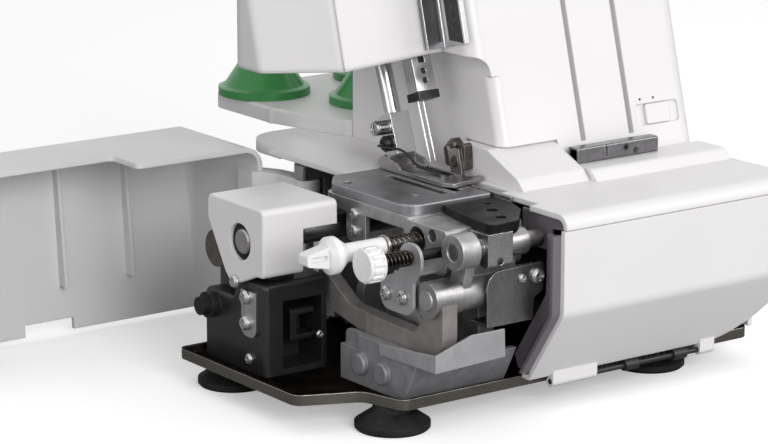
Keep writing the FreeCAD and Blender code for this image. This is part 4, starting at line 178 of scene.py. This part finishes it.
def bumped(tree, shader, height, depth, radius):
    """Bump of a given depth in metres over softened edges."""
    node = tree.nodes.new("ShaderNodeBump")
    node.inputs["Distance"].default_value = depth
    node.inputs["Strength"].default_value = 1.0
    tree.links.new(height, node.inputs["Height"])
    tree.links.new(soft_edges(tree, radius), node.inputs["Normal"])
    tree.links.new(node.outputs["Normal"], shader.inputs["Normal"])


# Materials, edge radii in millimetres

PLASTIC_IOR = 1.48
RUBBER_SPECULAR = 0.25
CAST_WEAR = 1.5


def moulding(name, dark, light, rough, edge):
    """Injection moulded plastic: slow colour drift, faint flow marks and a fine spark-eroded grain."""
    material, tree, shader = shader_of(name)
    drift = ranged(tree, noise(tree, scale=9.0, detail=2.0), 0.0, 1.0)
    tree.links.new(between(tree, drift, dark, light), shader.inputs["Base Color"])
    flow = ranged(tree, noise(tree, scale=60.0, detail=4.0), rough * 0.88, rough * 1.12)
    tree.links.new(flow, shader.inputs["Roughness"])
    shader.inputs["IOR"].default_value = PLASTIC_IOR
    bumped(tree, shader, noise(tree, scale=2600.0, detail=2.0), depth=0.000012, radius=edge * MM)
    return material


def casting(name, dark, light, rough, metallic, grain, depth, edge=0.6):
    """Die casting or sand casting: mottled colour, cast skin, paler where edges are rubbed."""
    material, tree, shader = shader_of(name)
    mottle = ranged(tree, noise(tree, scale=160.0, detail=6.0), 0.0, 1.0)
    colour = between(tree, mottle, dark, light)
    worn = tuple(min(1.0, value * CAST_WEAR) for value in light)
    tree.links.new(between(tree, wear_and_highlight_edges(tree, edge * MM), colour, worn), shader.inputs["Base Color"])
    shader.inputs["Metallic"].default_value = metallic
    skin = ranged(tree, noise(tree, scale=240.0, detail=5.0), rough * 0.8, rough * 1.2)
    tree.links.new(skin, shader.inputs["Roughness"])
    bumped(tree, shader, noise(tree, scale=grain, detail=4.0), depth, radius=edge * MM)
    return material


def plating(name, dark, light, rough, edge_highlight, stretch=EVEN, edge=0.35, glance=EVEN):
    """Plated or machined metal: drawn grain along one direction, cloudy gloss and a painted highlight along
    the sharp edges.
    """
    material, tree, shader = shader_of(name)
    grain = ranged(tree, noise(tree, scale=420.0, detail=5.0, stretch=stretch), 0.0, 1.0)
    colour = between(tree, grain, dark, light)
    # Edge colour: a painted highlight along the sharp edges
    tree.links.new(between(tree, wear_and_highlight_edges(tree, edge * MM), colour, edge_highlight), shader.inputs["Base Color"])
    shader.inputs["Metallic"].default_value = 1.0
    shader.inputs["Specular Tint"].default_value = (*glance, 1.0)
    cloud = ranged(tree, noise(tree, scale=75.0, detail=4.0), rough * 0.75, rough * 1.25)
    tree.links.new(cloud, shader.inputs["Roughness"])
    scratches = noise(tree, scale=1300.0, detail=3.0, stretch=stretch)
    bumped(tree, shader, scratches, depth=0.00001, radius=edge * MM)
    return material


def paint(name, colour, worn, rough, edge=0.4, gloss=0.5):
    """Baked paint on metal: orange peel, dust in the gloss and rubbed edges."""
    material, tree, shader = shader_of(name)
    shader.inputs["Specular IOR Level"].default_value = gloss
    tree.links.new(between(tree, wear_and_highlight_edges(tree, edge * MM), colour, worn), shader.inputs["Base Color"])
    dust = ranged(tree, noise(tree, scale=110.0, detail=6.0), rough * 0.8, rough * 1.25)
    tree.links.new(dust, shader.inputs["Roughness"])
    bumped(tree, shader, noise(tree, scale=700.0, detail=2.0), depth=0.00002, radius=edge * MM)
    return material


def rubber(name, dark, light):
    """Matt rubber with a bloom of dust."""
    material, tree, shader = shader_of(name)
    shader.inputs["Specular IOR Level"].default_value = RUBBER_SPECULAR
    bloom = ranged(tree, noise(tree, scale=140.0, detail=6.0), 0.0, 1.0, start=0.35, end=0.75)
    tree.links.new(between(tree, bloom, dark, light), shader.inputs["Base Color"])
    matt = ranged(tree, noise(tree, scale=300.0, detail=4.0), 0.5, 0.75)
    tree.links.new(matt, shader.inputs["Roughness"])
    bumped(tree, shader, noise(tree, scale=1800.0, detail=3.0), depth=0.00003, radius=0.6 * MM)
    return material


WHITE = moulding("white_plastic", (0.760, 0.742, 0.756), (0.800, 0.786, 0.796), rough=0.34, edge=0.9)
HEAD_WHITE = moulding("head_white", (0.760, 0.742, 0.756), (0.800, 0.786, 0.796), rough=0.34, edge=3.5)
# Darker copy of the cover white for the head's left-facing panel: painted shade
FACE_WHITE_SHADED = moulding("face_white_shaded", (0.690, 0.674, 0.688), (0.735, 0.722, 0.732), rough=0.36, edge=3.5)
TRAY_WHITE = moulding("tray_white", (0.700, 0.690, 0.690), (0.745, 0.735, 0.735), rough=0.42, edge=0.9)
KNOB_WHITE = moulding("knob_white", (0.835, 0.830, 0.826), (0.870, 0.866, 0.862), rough=0.28, edge=0.5)
GREY = moulding("grey_plastic", (0.52, 0.52, 0.53), (0.58, 0.58, 0.59), rough=0.4, edge=0.5)
BLACK = moulding("black_plastic", (0.012, 0.012, 0.013), (0.022, 0.021, 0.022), rough=0.42, edge=0.4)
# Dark lining plastic, dark enough to stand for the shade in the hollow behind it: partly real lining, partly
# painted shade
LINING_AND_SHADE = moulding("lining_and_painted_shade", (0.150, 0.132, 0.152), (0.190, 0.170, 0.192), rough=0.26, edge=0.3)
GREEN = moulding("green_plastic", (0.030, 0.225, 0.052), (0.042, 0.270, 0.068), rough=0.3, edge=0.5)

# Base plate's metal: near-black colour and a dark grazing tint, painted shade and painted dark reflection of
# the machine over the plate
NICKEL_SHADED = plating("nickel_plate", (0.050, 0.045, 0.041), (0.085, 0.077, 0.070), rough=0.34,
                 edge_highlight=(0.46, 0.44, 0.39), stretch=(1.0, 9.0, 9.0), edge=0.3, glance=(0.30, 0.28, 0.25))
# Lighter copy of the base plate's metal for its rising rim: a painted highlight
NICKEL_RIM_HIGHLIGHT = plating("nickel_rim_highlight", (0.120, 0.112, 0.098), (0.210, 0.198, 0.174), rough=0.34,
                      edge_highlight=(0.72, 0.70, 0.64), stretch=(1.0, 9.0, 9.0), edge=0.45)
ZINC = plating("bright_zinc", (0.44, 0.44, 0.445), (0.58, 0.58, 0.58), rough=0.32,
               edge_highlight=(0.82, 0.82, 0.81), stretch=(4.0, 4.0, 1.0))
# Darker copy of the zinc colour, for the guard plate
DARKER_ZINC = plating("darker_zinc", (0.165, 0.162, 0.168), (0.225, 0.221, 0.228), rough=0.38,
                    edge_highlight=(0.66, 0.66, 0.66), stretch=(4.0, 4.0, 1.0))
STEEL = plating("satin_steel", (0.30, 0.29, 0.29), (0.44, 0.43, 0.43), rough=0.32,
                edge_highlight=(0.72, 0.71, 0.70), stretch=(1.0, 7.0, 7.0))
BRIGHT = plating("polished_steel", (0.46, 0.46, 0.46), (0.62, 0.62, 0.61), rough=0.18,
                 edge_highlight=(0.88, 0.88, 0.87), stretch=(6.0, 6.0, 1.0))
PLATE_STEEL = plating("needle_plate_steel", (0.255, 0.249, 0.260), (0.325, 0.317, 0.330), rough=0.44,
                      edge_highlight=(0.62, 0.61, 0.62), stretch=(9.0, 1.0, 9.0), edge=0.45)
DARK_STEEL = plating("dark_steel", (0.030, 0.029, 0.030), (0.060, 0.058, 0.058), rough=0.36,
                     edge_highlight=(0.30, 0.29, 0.29))
BRONZE = plating("dark_bronze", (0.080, 0.070, 0.064), (0.150, 0.132, 0.120), rough=0.42,
                 edge_highlight=(0.36, 0.33, 0.30))
# Square thread guide bar: chrome darkened as a painted dark reflection, with painted highlights on its edges
DARK_REFLECTION_CHROME = plating("smoked_chrome", (0.150, 0.146, 0.151), (0.225, 0.220, 0.227), rough=0.20,
                        edge_highlight=(0.74, 0.74, 0.74))
CHROME = plating("guide_chrome", (0.36, 0.355, 0.365), (0.48, 0.475, 0.485), rough=0.20,
                 edge_highlight=(0.92, 0.92, 0.93), stretch=(6.0, 6.0, 1.0), edge=0.3)
SPRING = plating("spring_steel", (0.045, 0.034, 0.026), (0.085, 0.066, 0.052), rough=0.3,
                 edge_highlight=(0.25, 0.21, 0.17))

SHEET_METAL = casting("plated_sheet", (0.36, 0.36, 0.375), (0.43, 0.43, 0.445), rough=0.38,
                      metallic=0.4, grain=2200.0, depth=0.00001, edge=0.4)
ALUMINIUM = casting("bare_aluminium", (0.33, 0.33, 0.333), (0.47, 0.47, 0.473), rough=0.42,
                    metallic=0.85, grain=1100.0, depth=0.00005)
GREY_CASTING = casting("grey_casting", (0.215, 0.213, 0.226), (0.290, 0.287, 0.302), rough=0.46,
                       metallic=0.25, grain=1300.0, depth=0.00007)
DARK_CASTING = casting("dark_casting", (0.215, 0.198, 0.192), (0.290, 0.270, 0.263), rough=0.46,
                       metallic=0.35, grain=1200.0, depth=0.00006)

BLACK_PAINT = paint("black_paint", (0.015, 0.0145, 0.0155), worn=(0.060, 0.059, 0.061), rough=0.34)
BLACKING = paint("knife_blacking", (0.008, 0.008, 0.009), worn=(0.070, 0.069, 0.072), rough=0.42, gloss=0.12)
RUBBER = rubber("black_rubber", (0.006, 0.006, 0.006), (0.016, 0.0155, 0.0155))

FINISHES = {
    HEAD_WHITE: ["head_cover"],
    FACE_WHITE_SHADED: ["face_cover"],
    WHITE: ["feed_cover", "knife_guard", "column_cover", "rear_cover", "bed_cover", "right_cover",
            "looper_cover", "selector"],
    TRAY_WHITE: ["spool_tray", "side_cover"],
    KNOB_WHITE: ["release_knob", "width_knob", "handwheel", "differential_knob", "stitch_length_knob"],
    GREY: ["tension_dial_1", "tension_dial_2", "tension_dial_3", "tension_dial_4", "stand_pole"],
    BLACK: ["power_switch", "hinge_rod"],
    GREEN: ["cone_holders"],
    NICKEL_SHADED: ["base_plate"],
    ZINC: ["screws", "guide_bracket"],
    SHEET_METAL: ["knob_bracket", "chip_guard"],
    DARKER_ZINC: ["guard_plate"],
    STEEL: ["main_shaft", "motor_pulley", "release_shaft", "knife_shaft", "lower_looper", "upper_looper",
            "presser_foot", "hinge_bracket"],
    BRIGHT: ["needle_bar", "presser_bar"],
    PLATE_STEEL: ["needle_plate"],
    DARK_STEEL: ["feed_dogs"],
    BRONZE: ["upper_knife"],
    DARK_REFLECTION_CHROME: ["thread_guide_bar"],
    CHROME: ["thread_guides"],
    SPRING: ["release_spring", "width_spring"],
    ALUMINIUM: ["front_casting", "knife_bracket"],
    GREY_CASTING: ["frame_casting", "looper_housing", "bar_guide"],
    DARK_CASTING: ["knife_drive_arm"],
    BLACK_PAINT: ["feed_housing", "motor", "presser_lever"],
    BLACKING: ["lower_knife"],
    RUBBER: ["rubber_feet", "drive_belt"],
}


def finish_node(name, material):
    """One finish on a whole node."""
    mesh = nodes[name].data
    mesh.materials.clear()
    mesh.materials.append(material)


def finish_part(name, material, chosen):
    """Second finish on the faces of a node whose corners in the drawing satisfy a test."""
    mesh = nodes[name].data
    mesh.materials.append(material)
    index = len(mesh.materials) - 1
    for face in mesh.polygons:
        corners = [drawing(mesh.vertices[i].co) for i in face.vertices]
        if chosen(corners):
            face.material_index = index


def all_within(axis, low, high):
    """Test: every corner lies between two levels of an axis of the drawing."""
    return lambda corners: all(low <= corner[axis] <= high for corner in corners)


def any_within(axis, low, high):
    """Test: at least one corner lies between two levels of an axis of the drawing."""
    return lambda corners: any(low <= corner[axis] <= high for corner in corners)


def every(*tests):
    """Test: several tests at once."""
    return lambda corners: all(test(corners) for test in tests)


def rising(least):
    """Test: the face rises by more than a height, so it isn't level."""
    return lambda corners: max(c.z for c in corners) - min(c.z for c in corners) > least


def round_x(y, z, radius):
    """Test: every corner lies within a radius of an axis along X."""
    return lambda corners: all(math.hypot(c.y - y, c.z - z) <= radius for c in corners)


def near_front(depth):
    """Test: every corner lies within a depth behind the column's leaning front."""
    return lambda corners: all(c.y - front_at(c.z) <= depth for c in corners)


def along_lean(foot, side, heights, depths):
    """Test: every corner lies in a box along the leaning bars, measured from a bar's foot."""
    def inside(corner):
        step = corner - foot
        return (abs(step.x) <= side and heights[0] <= step.dot(LEAN_UP) <= heights[1]
                and depths[0] <= step.dot(LEAN_BACK) <= depths[1])
    return lambda corners: all(inside(corner) for corner in corners)


for finish, names in FINISHES.items():
    for node_name in names:
        finish_node(node_name, finish)

# Base plate: rim lighter than the top as a painted highlight, black underside and black front edge below the
# looper cover
PLATE_RIM_RISE = 0.6
PLATE_UNDERSIDE = (0.0, 11.7)
PLATE_FRONT_EDGE = (-30.0, -15.2)
PLATE_COVERED = (100.0, 170.0)
finish_part("base_plate", NICKEL_RIM_HIGHLIGHT, rising(PLATE_RIM_RISE))
finish_part("base_plate", BLACK, all_within(Z, *PLATE_UNDERSIDE))
finish_part("base_plate", BLACK, every(any_within(Y, *PLATE_FRONT_EDGE), any_within(X, *PLATE_COVERED)))

# Dark colour at the looper cover's left end: partly its real lining, partly painted shade of the hollow
# inside the cover
LINING_AND_SHADE_X = (50.0, 62.6)
finish_part("looper_cover", LINING_AND_SHADE, any_within(X, *LINING_AND_SHADE_X))

# Metal shafts of the knobs
RIGHT_SHAFTS = (-30.0, 204.0)
WIDTH_SHAFT = (-17.6, 30.0)
finish_part("differential_knob", BRONZE, all_within(X, *RIGHT_SHAFTS))
finish_part("stitch_length_knob", STEEL, all_within(X, *RIGHT_SHAFTS))
finish_part("width_knob", DARK_STEEL, all_within(X, *WIDTH_SHAFT))

# Turned hub of the drive arm, by its axis and radius, and ground blades of the two knives
ARM_HUB = (-20.5, 63.4, 8.75)
LOWER_BLADE = (66.9, 69.0)
UPPER_BLADE = (71.0, 72.9)
finish_part("knife_drive_arm", STEEL, round_x(*ARM_HUB))
finish_part("lower_knife", STEEL, all_within(X, *LOWER_BLADE))
finish_part("upper_knife", STEEL, all_within(X, *UPPER_BLADE))

# Dark strip at the front of the thread guides, a painted dark reflection on their chrome, and rubber bumper
# of the feed housing
GUIDE_WALL = (74.7, 76.2)
DARK_REFLECTION_DEPTH = 15.5
BUMPER = (-40.0, -28.9)
finish_part("thread_guides", DARK_STEEL, every(all_within(X, *GUIDE_WALL), near_front(DARK_REFLECTION_DEPTH)))
finish_part("feed_housing", RUBBER, all_within(X, *BUMPER))

# Power inlet in the right cover
INLET_X = (150.0, 203.4)
INLET_Y = (127.4, 146.6)
INLET_Z = (19.9, 34.1)
finish_part("right_cover", BLACK,
            every(all_within(Y, *INLET_Y), all_within(Z, *INLET_Z), any_within(X, *INLET_X)))

# Dark collar and black screw of the needle bar, and dark boss of the presser bar
COLLAR = {"side": 6.5, "heights": (-4.1, 0.1), "depths": (-6.0, 6.0)}
BAR_SCREW = {"side": 1.8, "heights": (13.4, 16.6), "depths": (-4.1, -2.4)}
BOSS_RADIUS = 3.9
BOSS_X = (50.0, 59.6)
finish_part("needle_bar", DARK_STEEL, along_lean(NEEDLE_FOOT, **COLLAR))
finish_part("needle_bar", BLACK, along_lean(NEEDLE_FOOT, **BAR_SCREW))
finish_part("presser_bar", DARK_STEEL,
            every(round_x(LOWER_BOSS.y, LOWER_BOSS.z, BOSS_RADIUS), all_within(X, *BOSS_X)))


# Building blocks of the small pieces

# Rings of a screw head: radius and height as shares of its own
HEAD_SIDES = 28
HEAD_RINGS = ((1.0, -0.1), (1.0, 0.5), (0.93, 0.8), (0.8, 1.0))

# Recesses of a screw head, as shares of its radius and height
CROSS_ARM = 0.62
CROSS_HALF = 0.17
SLOT_ARM = 0.72
SLOT_HALF = 0.15
SOCKET = 0.5
SOCKET_SIDES = 6
RECESS_FLOOR = 0.4
RECESS_TAPER = 0.92

WIRE_ROUND = 4
WIRE_ORDER = 3
WALL_ROUND = 0.3


def frame_of(way):
    """Two directions square to a direction."""
    across = way.cross(UP)
    if across.length < 0.1:
        across = way.cross(LEFT)
    across.normalize()
    return across, way.cross(across).normalized()


def join_body(piece, body):
    """Piece in the scene, riding on a body."""
    scene.collection.objects.link(piece)
    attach(piece, body)


def add_piece(name, form, body, material):
    """New piece from a form drawn in millimetres, riding on a body."""
    for vertex in form.verts:
        vertex.co = place(*vertex.co)
    bmesh.ops.recalc_face_normals(form, faces=form.faces)
    mesh = bpy.data.meshes.new(name)
    form.to_mesh(mesh)
    form.free()
    mesh.materials.append(material)
    join_body(bpy.data.objects.new(name, mesh), body)


def circle(radius, count):
    """Points round a circle."""
    turns = [2 * math.pi * i / count for i in range(count)]
    return [(radius * math.cos(turn), radius * math.sin(turn)) for turn in turns]


def loop(form, centre, across, upward, points):
    """Ring of vertices from points in a plane."""
    return [form.verts.new(centre + across * u + upward * v) for u, v in points]


def join_loops(form, low, high):
    """Faces between two rings of equal count."""
    count = len(low)
    for i in range(count):
        k = (i + 1) % count
        form.faces.new((low[i], low[k], high[k], high[i]))


def ring_edges(form, ring):
    """Edges of a closed ring of vertices."""
    pairs = zip(ring, ring[1:] + ring[:1])
    return [form.edges.get(pair) or form.edges.new(pair) for pair in pairs]


def cross_recess(radius):
    """Outline of a cross recess."""
    arm = radius * CROSS_ARM
    half = radius * CROSS_HALF
    return [(half, half), (half, arm), (-half, arm), (-half, half), (-arm, half), (-arm, -half),
            (-half, -half), (-half, -arm), (half, -arm), (half, -half), (arm, -half), (arm, half)]


def slot_recess(radius):
    """Outline of a single slot, not quite from rim to rim."""
    arm = radius * SLOT_ARM
    half = radius * SLOT_HALF
    return [(arm, half), (-arm, half), (-arm, -half), (arm, -half)]


def socket_recess(radius):
    """Outline of a hexagon socket."""
    return circle(radius * SOCKET, SOCKET_SIDES)


def screw_head(form, at, way, radius, height, recess, turn):
    """Domed screw head on a face, with a recess for the driver."""
    flat, upright = frame_of(way)
    across = flat * math.cos(turn) + upright * math.sin(turn)
    upward = upright * math.cos(turn) - flat * math.sin(turn)
    rings = [loop(form, at + way * (height * up), across, upward, circle(radius * wide, HEAD_SIDES))
             for wide, up in HEAD_RINGS]
    for low, high in zip(rings, rings[1:]):
        join_loops(form, low, high)
    mouth = loop(form, at + way * height, across, upward, recess(radius))
    bottom = loop(form, at + way * (height * RECESS_FLOOR), across, upward, recess(radius * RECESS_TAPER))
    edges = ring_edges(form, rings[-1]) + ring_edges(form, mouth)
    bmesh.ops.triangle_fill(form, use_beauty=True, edges=edges)
    join_loops(form, mouth, bottom)
    form.faces.new(bottom)
    form.faces.new(rings[0])


def screws_piece(name, body, material, heads):
    """Screw heads of one body as one piece."""
    form = bmesh.new()
    for head in heads:
        screw_head(form, **head)
    add_piece(name, form, body, material)


def wire(name, body, material, points, radius):
    """Bent wire through control points."""
    data = bpy.data.curves.new(name, "CURVE")
    data.dimensions = "3D"
    data.bevel_depth = radius * MM
    data.bevel_resolution = WIRE_ROUND
    data.use_fill_caps = True
    spline = data.splines.new("NURBS")
    spline.points.add(len(points) - 1)
    for point, at in zip(spline.points, points):
        point.co = (*place(*at), 1.0)
    spline.order_u = WIRE_ORDER
    spline.use_endpoint_u = True
    data.materials.append(material)
    join_body(bpy.data.objects.new(name, data), body)


def thin_wall(name, body, outline, sides):
    """Thin moulded wall with rounded edges between two levels of x, in the dark lining colour that partly
    stands for painted shade.
    """
    form = bmesh.new()
    near, far = [[form.verts.new((x, y, z)) for y, z in outline] for x in sides]
    join_loops(form, near, far)
    form.faces.new(near)
    form.faces.new(far)
    bmesh.ops.bevel(form, geom=form.edges[:], offset=WALL_ROUND, segments=2, affect="EDGES")
    add_piece(name, form, body, LINING_AND_SHADE)


# Set screws of the needle clamp, by their heights along the leaning bar
SET_SCREWS = (5.0, 9.5)
SET_SCREW_FRONT = 2.5
screws_piece("needle_set_screws", "needle_unit", DARK_STEEL,
             [dict(at=NEEDLE_FOOT + LEAN_UP * up - LEAN_BACK * SET_SCREW_FRONT, way=-LEAN_BACK,
                   radius=1.4, height=1.1, recess=slot_recess, turn=0.7 + up) for up in SET_SCREWS])

# Screws of the presser bar's two bosses
screws_piece("foot_screw", "presser_unit", STEEL,
             [dict(at=Vector((52.5, UPPER_BOSS.y, UPPER_BOSS.z)), way=LEFT,
                   radius=3.6, height=1.5, recess=cross_recess, turn=0.3)])
screws_piece("foot_socket_screw", "presser_unit", DARK_STEEL,
             [dict(at=Vector((55.5, LOWER_BOSS.y, LOWER_BOSS.z)), way=LEFT,
                   radius=3.3, height=1.0, recess=socket_recess, turn=0.2)])

# Screws of the two knives and of the needle plate
screws_piece("upper_knife_screws", "upper_knife_unit", BRONZE,
             [dict(at=Vector((71.4, 48.0, 105.6)), way=LEFT,
                   radius=2.9, height=0.5, recess=slot_recess, turn=0.9),
              dict(at=Vector((73.0, 50.6, 113.0)), way=LEFT,
                   radius=2.2, height=1.6, recess=slot_recess, turn=0.4)])
screws_piece("lower_knife_screws", "lower_knife_unit", DARK_STEEL,
             [dict(at=Vector((45.0, -21.0, 92.9)), way=UP,
                   radius=2.5, height=2.2, recess=slot_recess, turn=0.5),
              dict(at=Vector((50.0, -8.0, 92.9)), way=UP,
                   radius=2.9, height=2.2, recess=slot_recess, turn=1.2)])
screws_piece("needle_plate_screws", "machine_body", PLATE_STEEL,
             [dict(at=Vector((34.2, 29.2, 97.7)), way=UP,
                   radius=2.3, height=0.45, recess=slot_recess, turn=0.6)])

# Sprung wire that lies on the presser foot, left of the needles
FOOT_WIRE = ((53.2, 84.5, 109.0), (53.4, 79.0, 109.0), (59.8, 73.0, 108.4), (61.0, 65.8, 102.6),
             (61.2, 57.0, 101.0), (61.4, 46.0, 101.0))
wire("foot_wire", "presser_unit", BLACK, FOOT_WIRE, radius=0.6)

# Socket screw of the square thread guide
screws_piece("guide_bar_screw", "machine_body", DARK_STEEL,
             [dict(at=Vector((153.9, 13.5, 106.7)), way=FRONT,
                   radius=1.5, height=0.4, recess=socket_recess, turn=0.3)])

# Dark mouldings at the looper cover's left end, outlines in y and z: the end of the cover's own lining, and
# the wall that hangs below the bed. They close the hollow inside, and their dark colour is partly the real
# lining and partly painted shade of that hollow.
SHADED_LINING_END = ((-40.6, 88.4), (-40.6, 52.2), (-18.8, 20.2), (-12.5, 20.2), (-9.8, 26.4), (-32.6, 59.5),
              (-32.6, 88.4))
SHADED_LINING_END_X = (62.5, 63.7)
BED_END = ((-41.0, 90.0), (-41.0, 93.0), (-38.5, 95.6), (-10.0, 95.6), (-10.0, 79.0), (-31.6, 79.0),
           (-31.6, 90.0))
BED_END_X = (66.0, 67.2)
thin_wall("shaded_lining_end", "front_cover", SHADED_LINING_END, SHADED_LINING_END_X)
thin_wall("bed_end", "machine_body", BED_END, BED_END_X)

# Two dots over the selector, on the column's leaning front, and the rings of a dot: radius and proudness
SELECTOR_Z = 118.5
DOT_XS = (172.2, 180.6)
DOT_OVER = 7.6
DOT_R = 0.65
DOT_RINGS = ((DOT_R, -0.1), (DOT_R, 0.036), (DOT_R * 0.9, 0.06))


def dots():
    """Flat printed dots with rounded rims."""
    form = bmesh.new()
    across, upward = frame_of(FRONT_OUT)
    for x in DOT_XS:
        centre = Vector((x, front_at(SELECTOR_Z), SELECTOR_Z)) + FRONT_UP * DOT_OVER
        rings = [loop(form, centre + FRONT_OUT * out, across, upward, circle(wide, HEAD_SIDES))
                 for wide, out in DOT_RINGS]
        for low, high in zip(rings, rings[1:]):
            join_loops(form, low, high)
        form.faces.new(rings[0])
        form.faces.new(rings[-1])
    add_piece("selector_dots", form, "machine_body", BLACK)


dots()


# Floor, lights, world and camera

def floor():
    """Pale paper that keeps the object's shadow, brighter to the camera than as a light on the object."""
    mesh = bpy.data.meshes.new("floor")
    corners = [(-FLOOR_HALF, -FLOOR_HALF, 0.0), (FLOOR_HALF, -FLOOR_HALF, 0.0),
               (FLOOR_HALF, FLOOR_HALF, 0.0), (-FLOOR_HALF, FLOOR_HALF, 0.0)]
    mesh.from_pydata(corners, [], [(0, 1, 2, 3)])
    piece = bpy.data.objects.new("floor", mesh)
    scene.collection.objects.link(piece)
    material, tree, shader = shader_of("floor_paper")
    shader.inputs["Roughness"].default_value = FLOOR_ROUGH
    shader.inputs["Emission Color"].default_value = WHITE_LIGHT
    rays = tree.nodes.new("ShaderNodeLightPath")
    paper = between(tree, rays.outputs["Is Camera Ray"], FLOOR_BOUNCE, FLOOR_SEEN)
    tree.links.new(paper, shader.inputs["Base Color"])
    seen = tree.nodes.new("ShaderNodeMath")
    seen.operation = "MULTIPLY"
    seen.inputs[1].default_value = FLOOR_GLOW
    tree.links.new(rays.outputs["Is Camera Ray"], seen.inputs[0])
    tree.links.new(seen.outputs["Value"], shader.inputs["Emission Strength"])
    mesh.materials.append(material)


def lamp(name, at, size, power):
    """Round soft lamp that points at the object."""
    data = bpy.data.lights.new(name, "AREA")
    data.shape = "DISK"
    data.size = size
    data.energy = power
    lamp_object = bpy.data.objects.new(name, data)
    lamp_object.location = at
    lamp_object.rotation_euler = (Vector(LAMP_AIM) - Vector(at)).to_track_quat("-Z", "Y").to_euler()
    scene.collection.objects.link(lamp_object)


def surroundings():
    """White to the camera and in reflections, a soft grey light otherwise."""
    world = bpy.data.worlds.new("studio")
    world.use_nodes = True
    tree = world.node_tree
    background = tree.nodes["Background"]
    background.inputs["Color"].default_value = WHITE_LIGHT
    rays = tree.nodes.new("ShaderNodeLightPath")
    seen = tree.nodes.new("ShaderNodeMath")
    seen.operation = "MAXIMUM"
    tree.links.new(rays.outputs["Is Camera Ray"], seen.inputs[0])
    tree.links.new(rays.outputs["Is Glossy Ray"], seen.inputs[1])
    all_seen = tree.nodes.new("ShaderNodeMath")
    all_seen.operation = "MAXIMUM"
    tree.links.new(seen.outputs["Value"], all_seen.inputs[0])
    tree.links.new(rays.outputs["Is Transmission Ray"], all_seen.inputs[1])
    strength = ranged(tree, all_seen.outputs["Value"], WORLD_LIGHT, WORLD_SEEN, start=0.0, end=1.0)
    tree.links.new(strength, background.inputs["Strength"])
    scene.world = world


def camera():
    """Camera of the photograph."""
    data = bpy.data.cameras.new("camera")
    data.lens = CAMERA_FOCAL
    data.sensor_width = CAMERA_SENSOR
    data.sensor_fit = "HORIZONTAL"
    data.clip_end = CAMERA_REACH
    eye = bpy.data.objects.new("camera", data)
    ahead = Vector((math.sin(CAMERA_TURN) * math.cos(CAMERA_DIP),
                    math.cos(CAMERA_TURN) * math.cos(CAMERA_DIP), -math.sin(CAMERA_DIP)))
    right = Vector((math.cos(CAMERA_TURN), -math.sin(CAMERA_TURN), 0.0))
    up = right.cross(ahead)
    turn = Matrix((right, up, -ahead)).transposed().to_4x4()
    eye.matrix_world = Matrix.Translation(place(*CAMERA_AT)) @ turn
    scene.collection.objects.link(eye)
    scene.camera = eye


floor()
surroundings()
for lamp_name, lamp_values in LAMPS.items():
    lamp(lamp_name, *lamp_values)
camera()
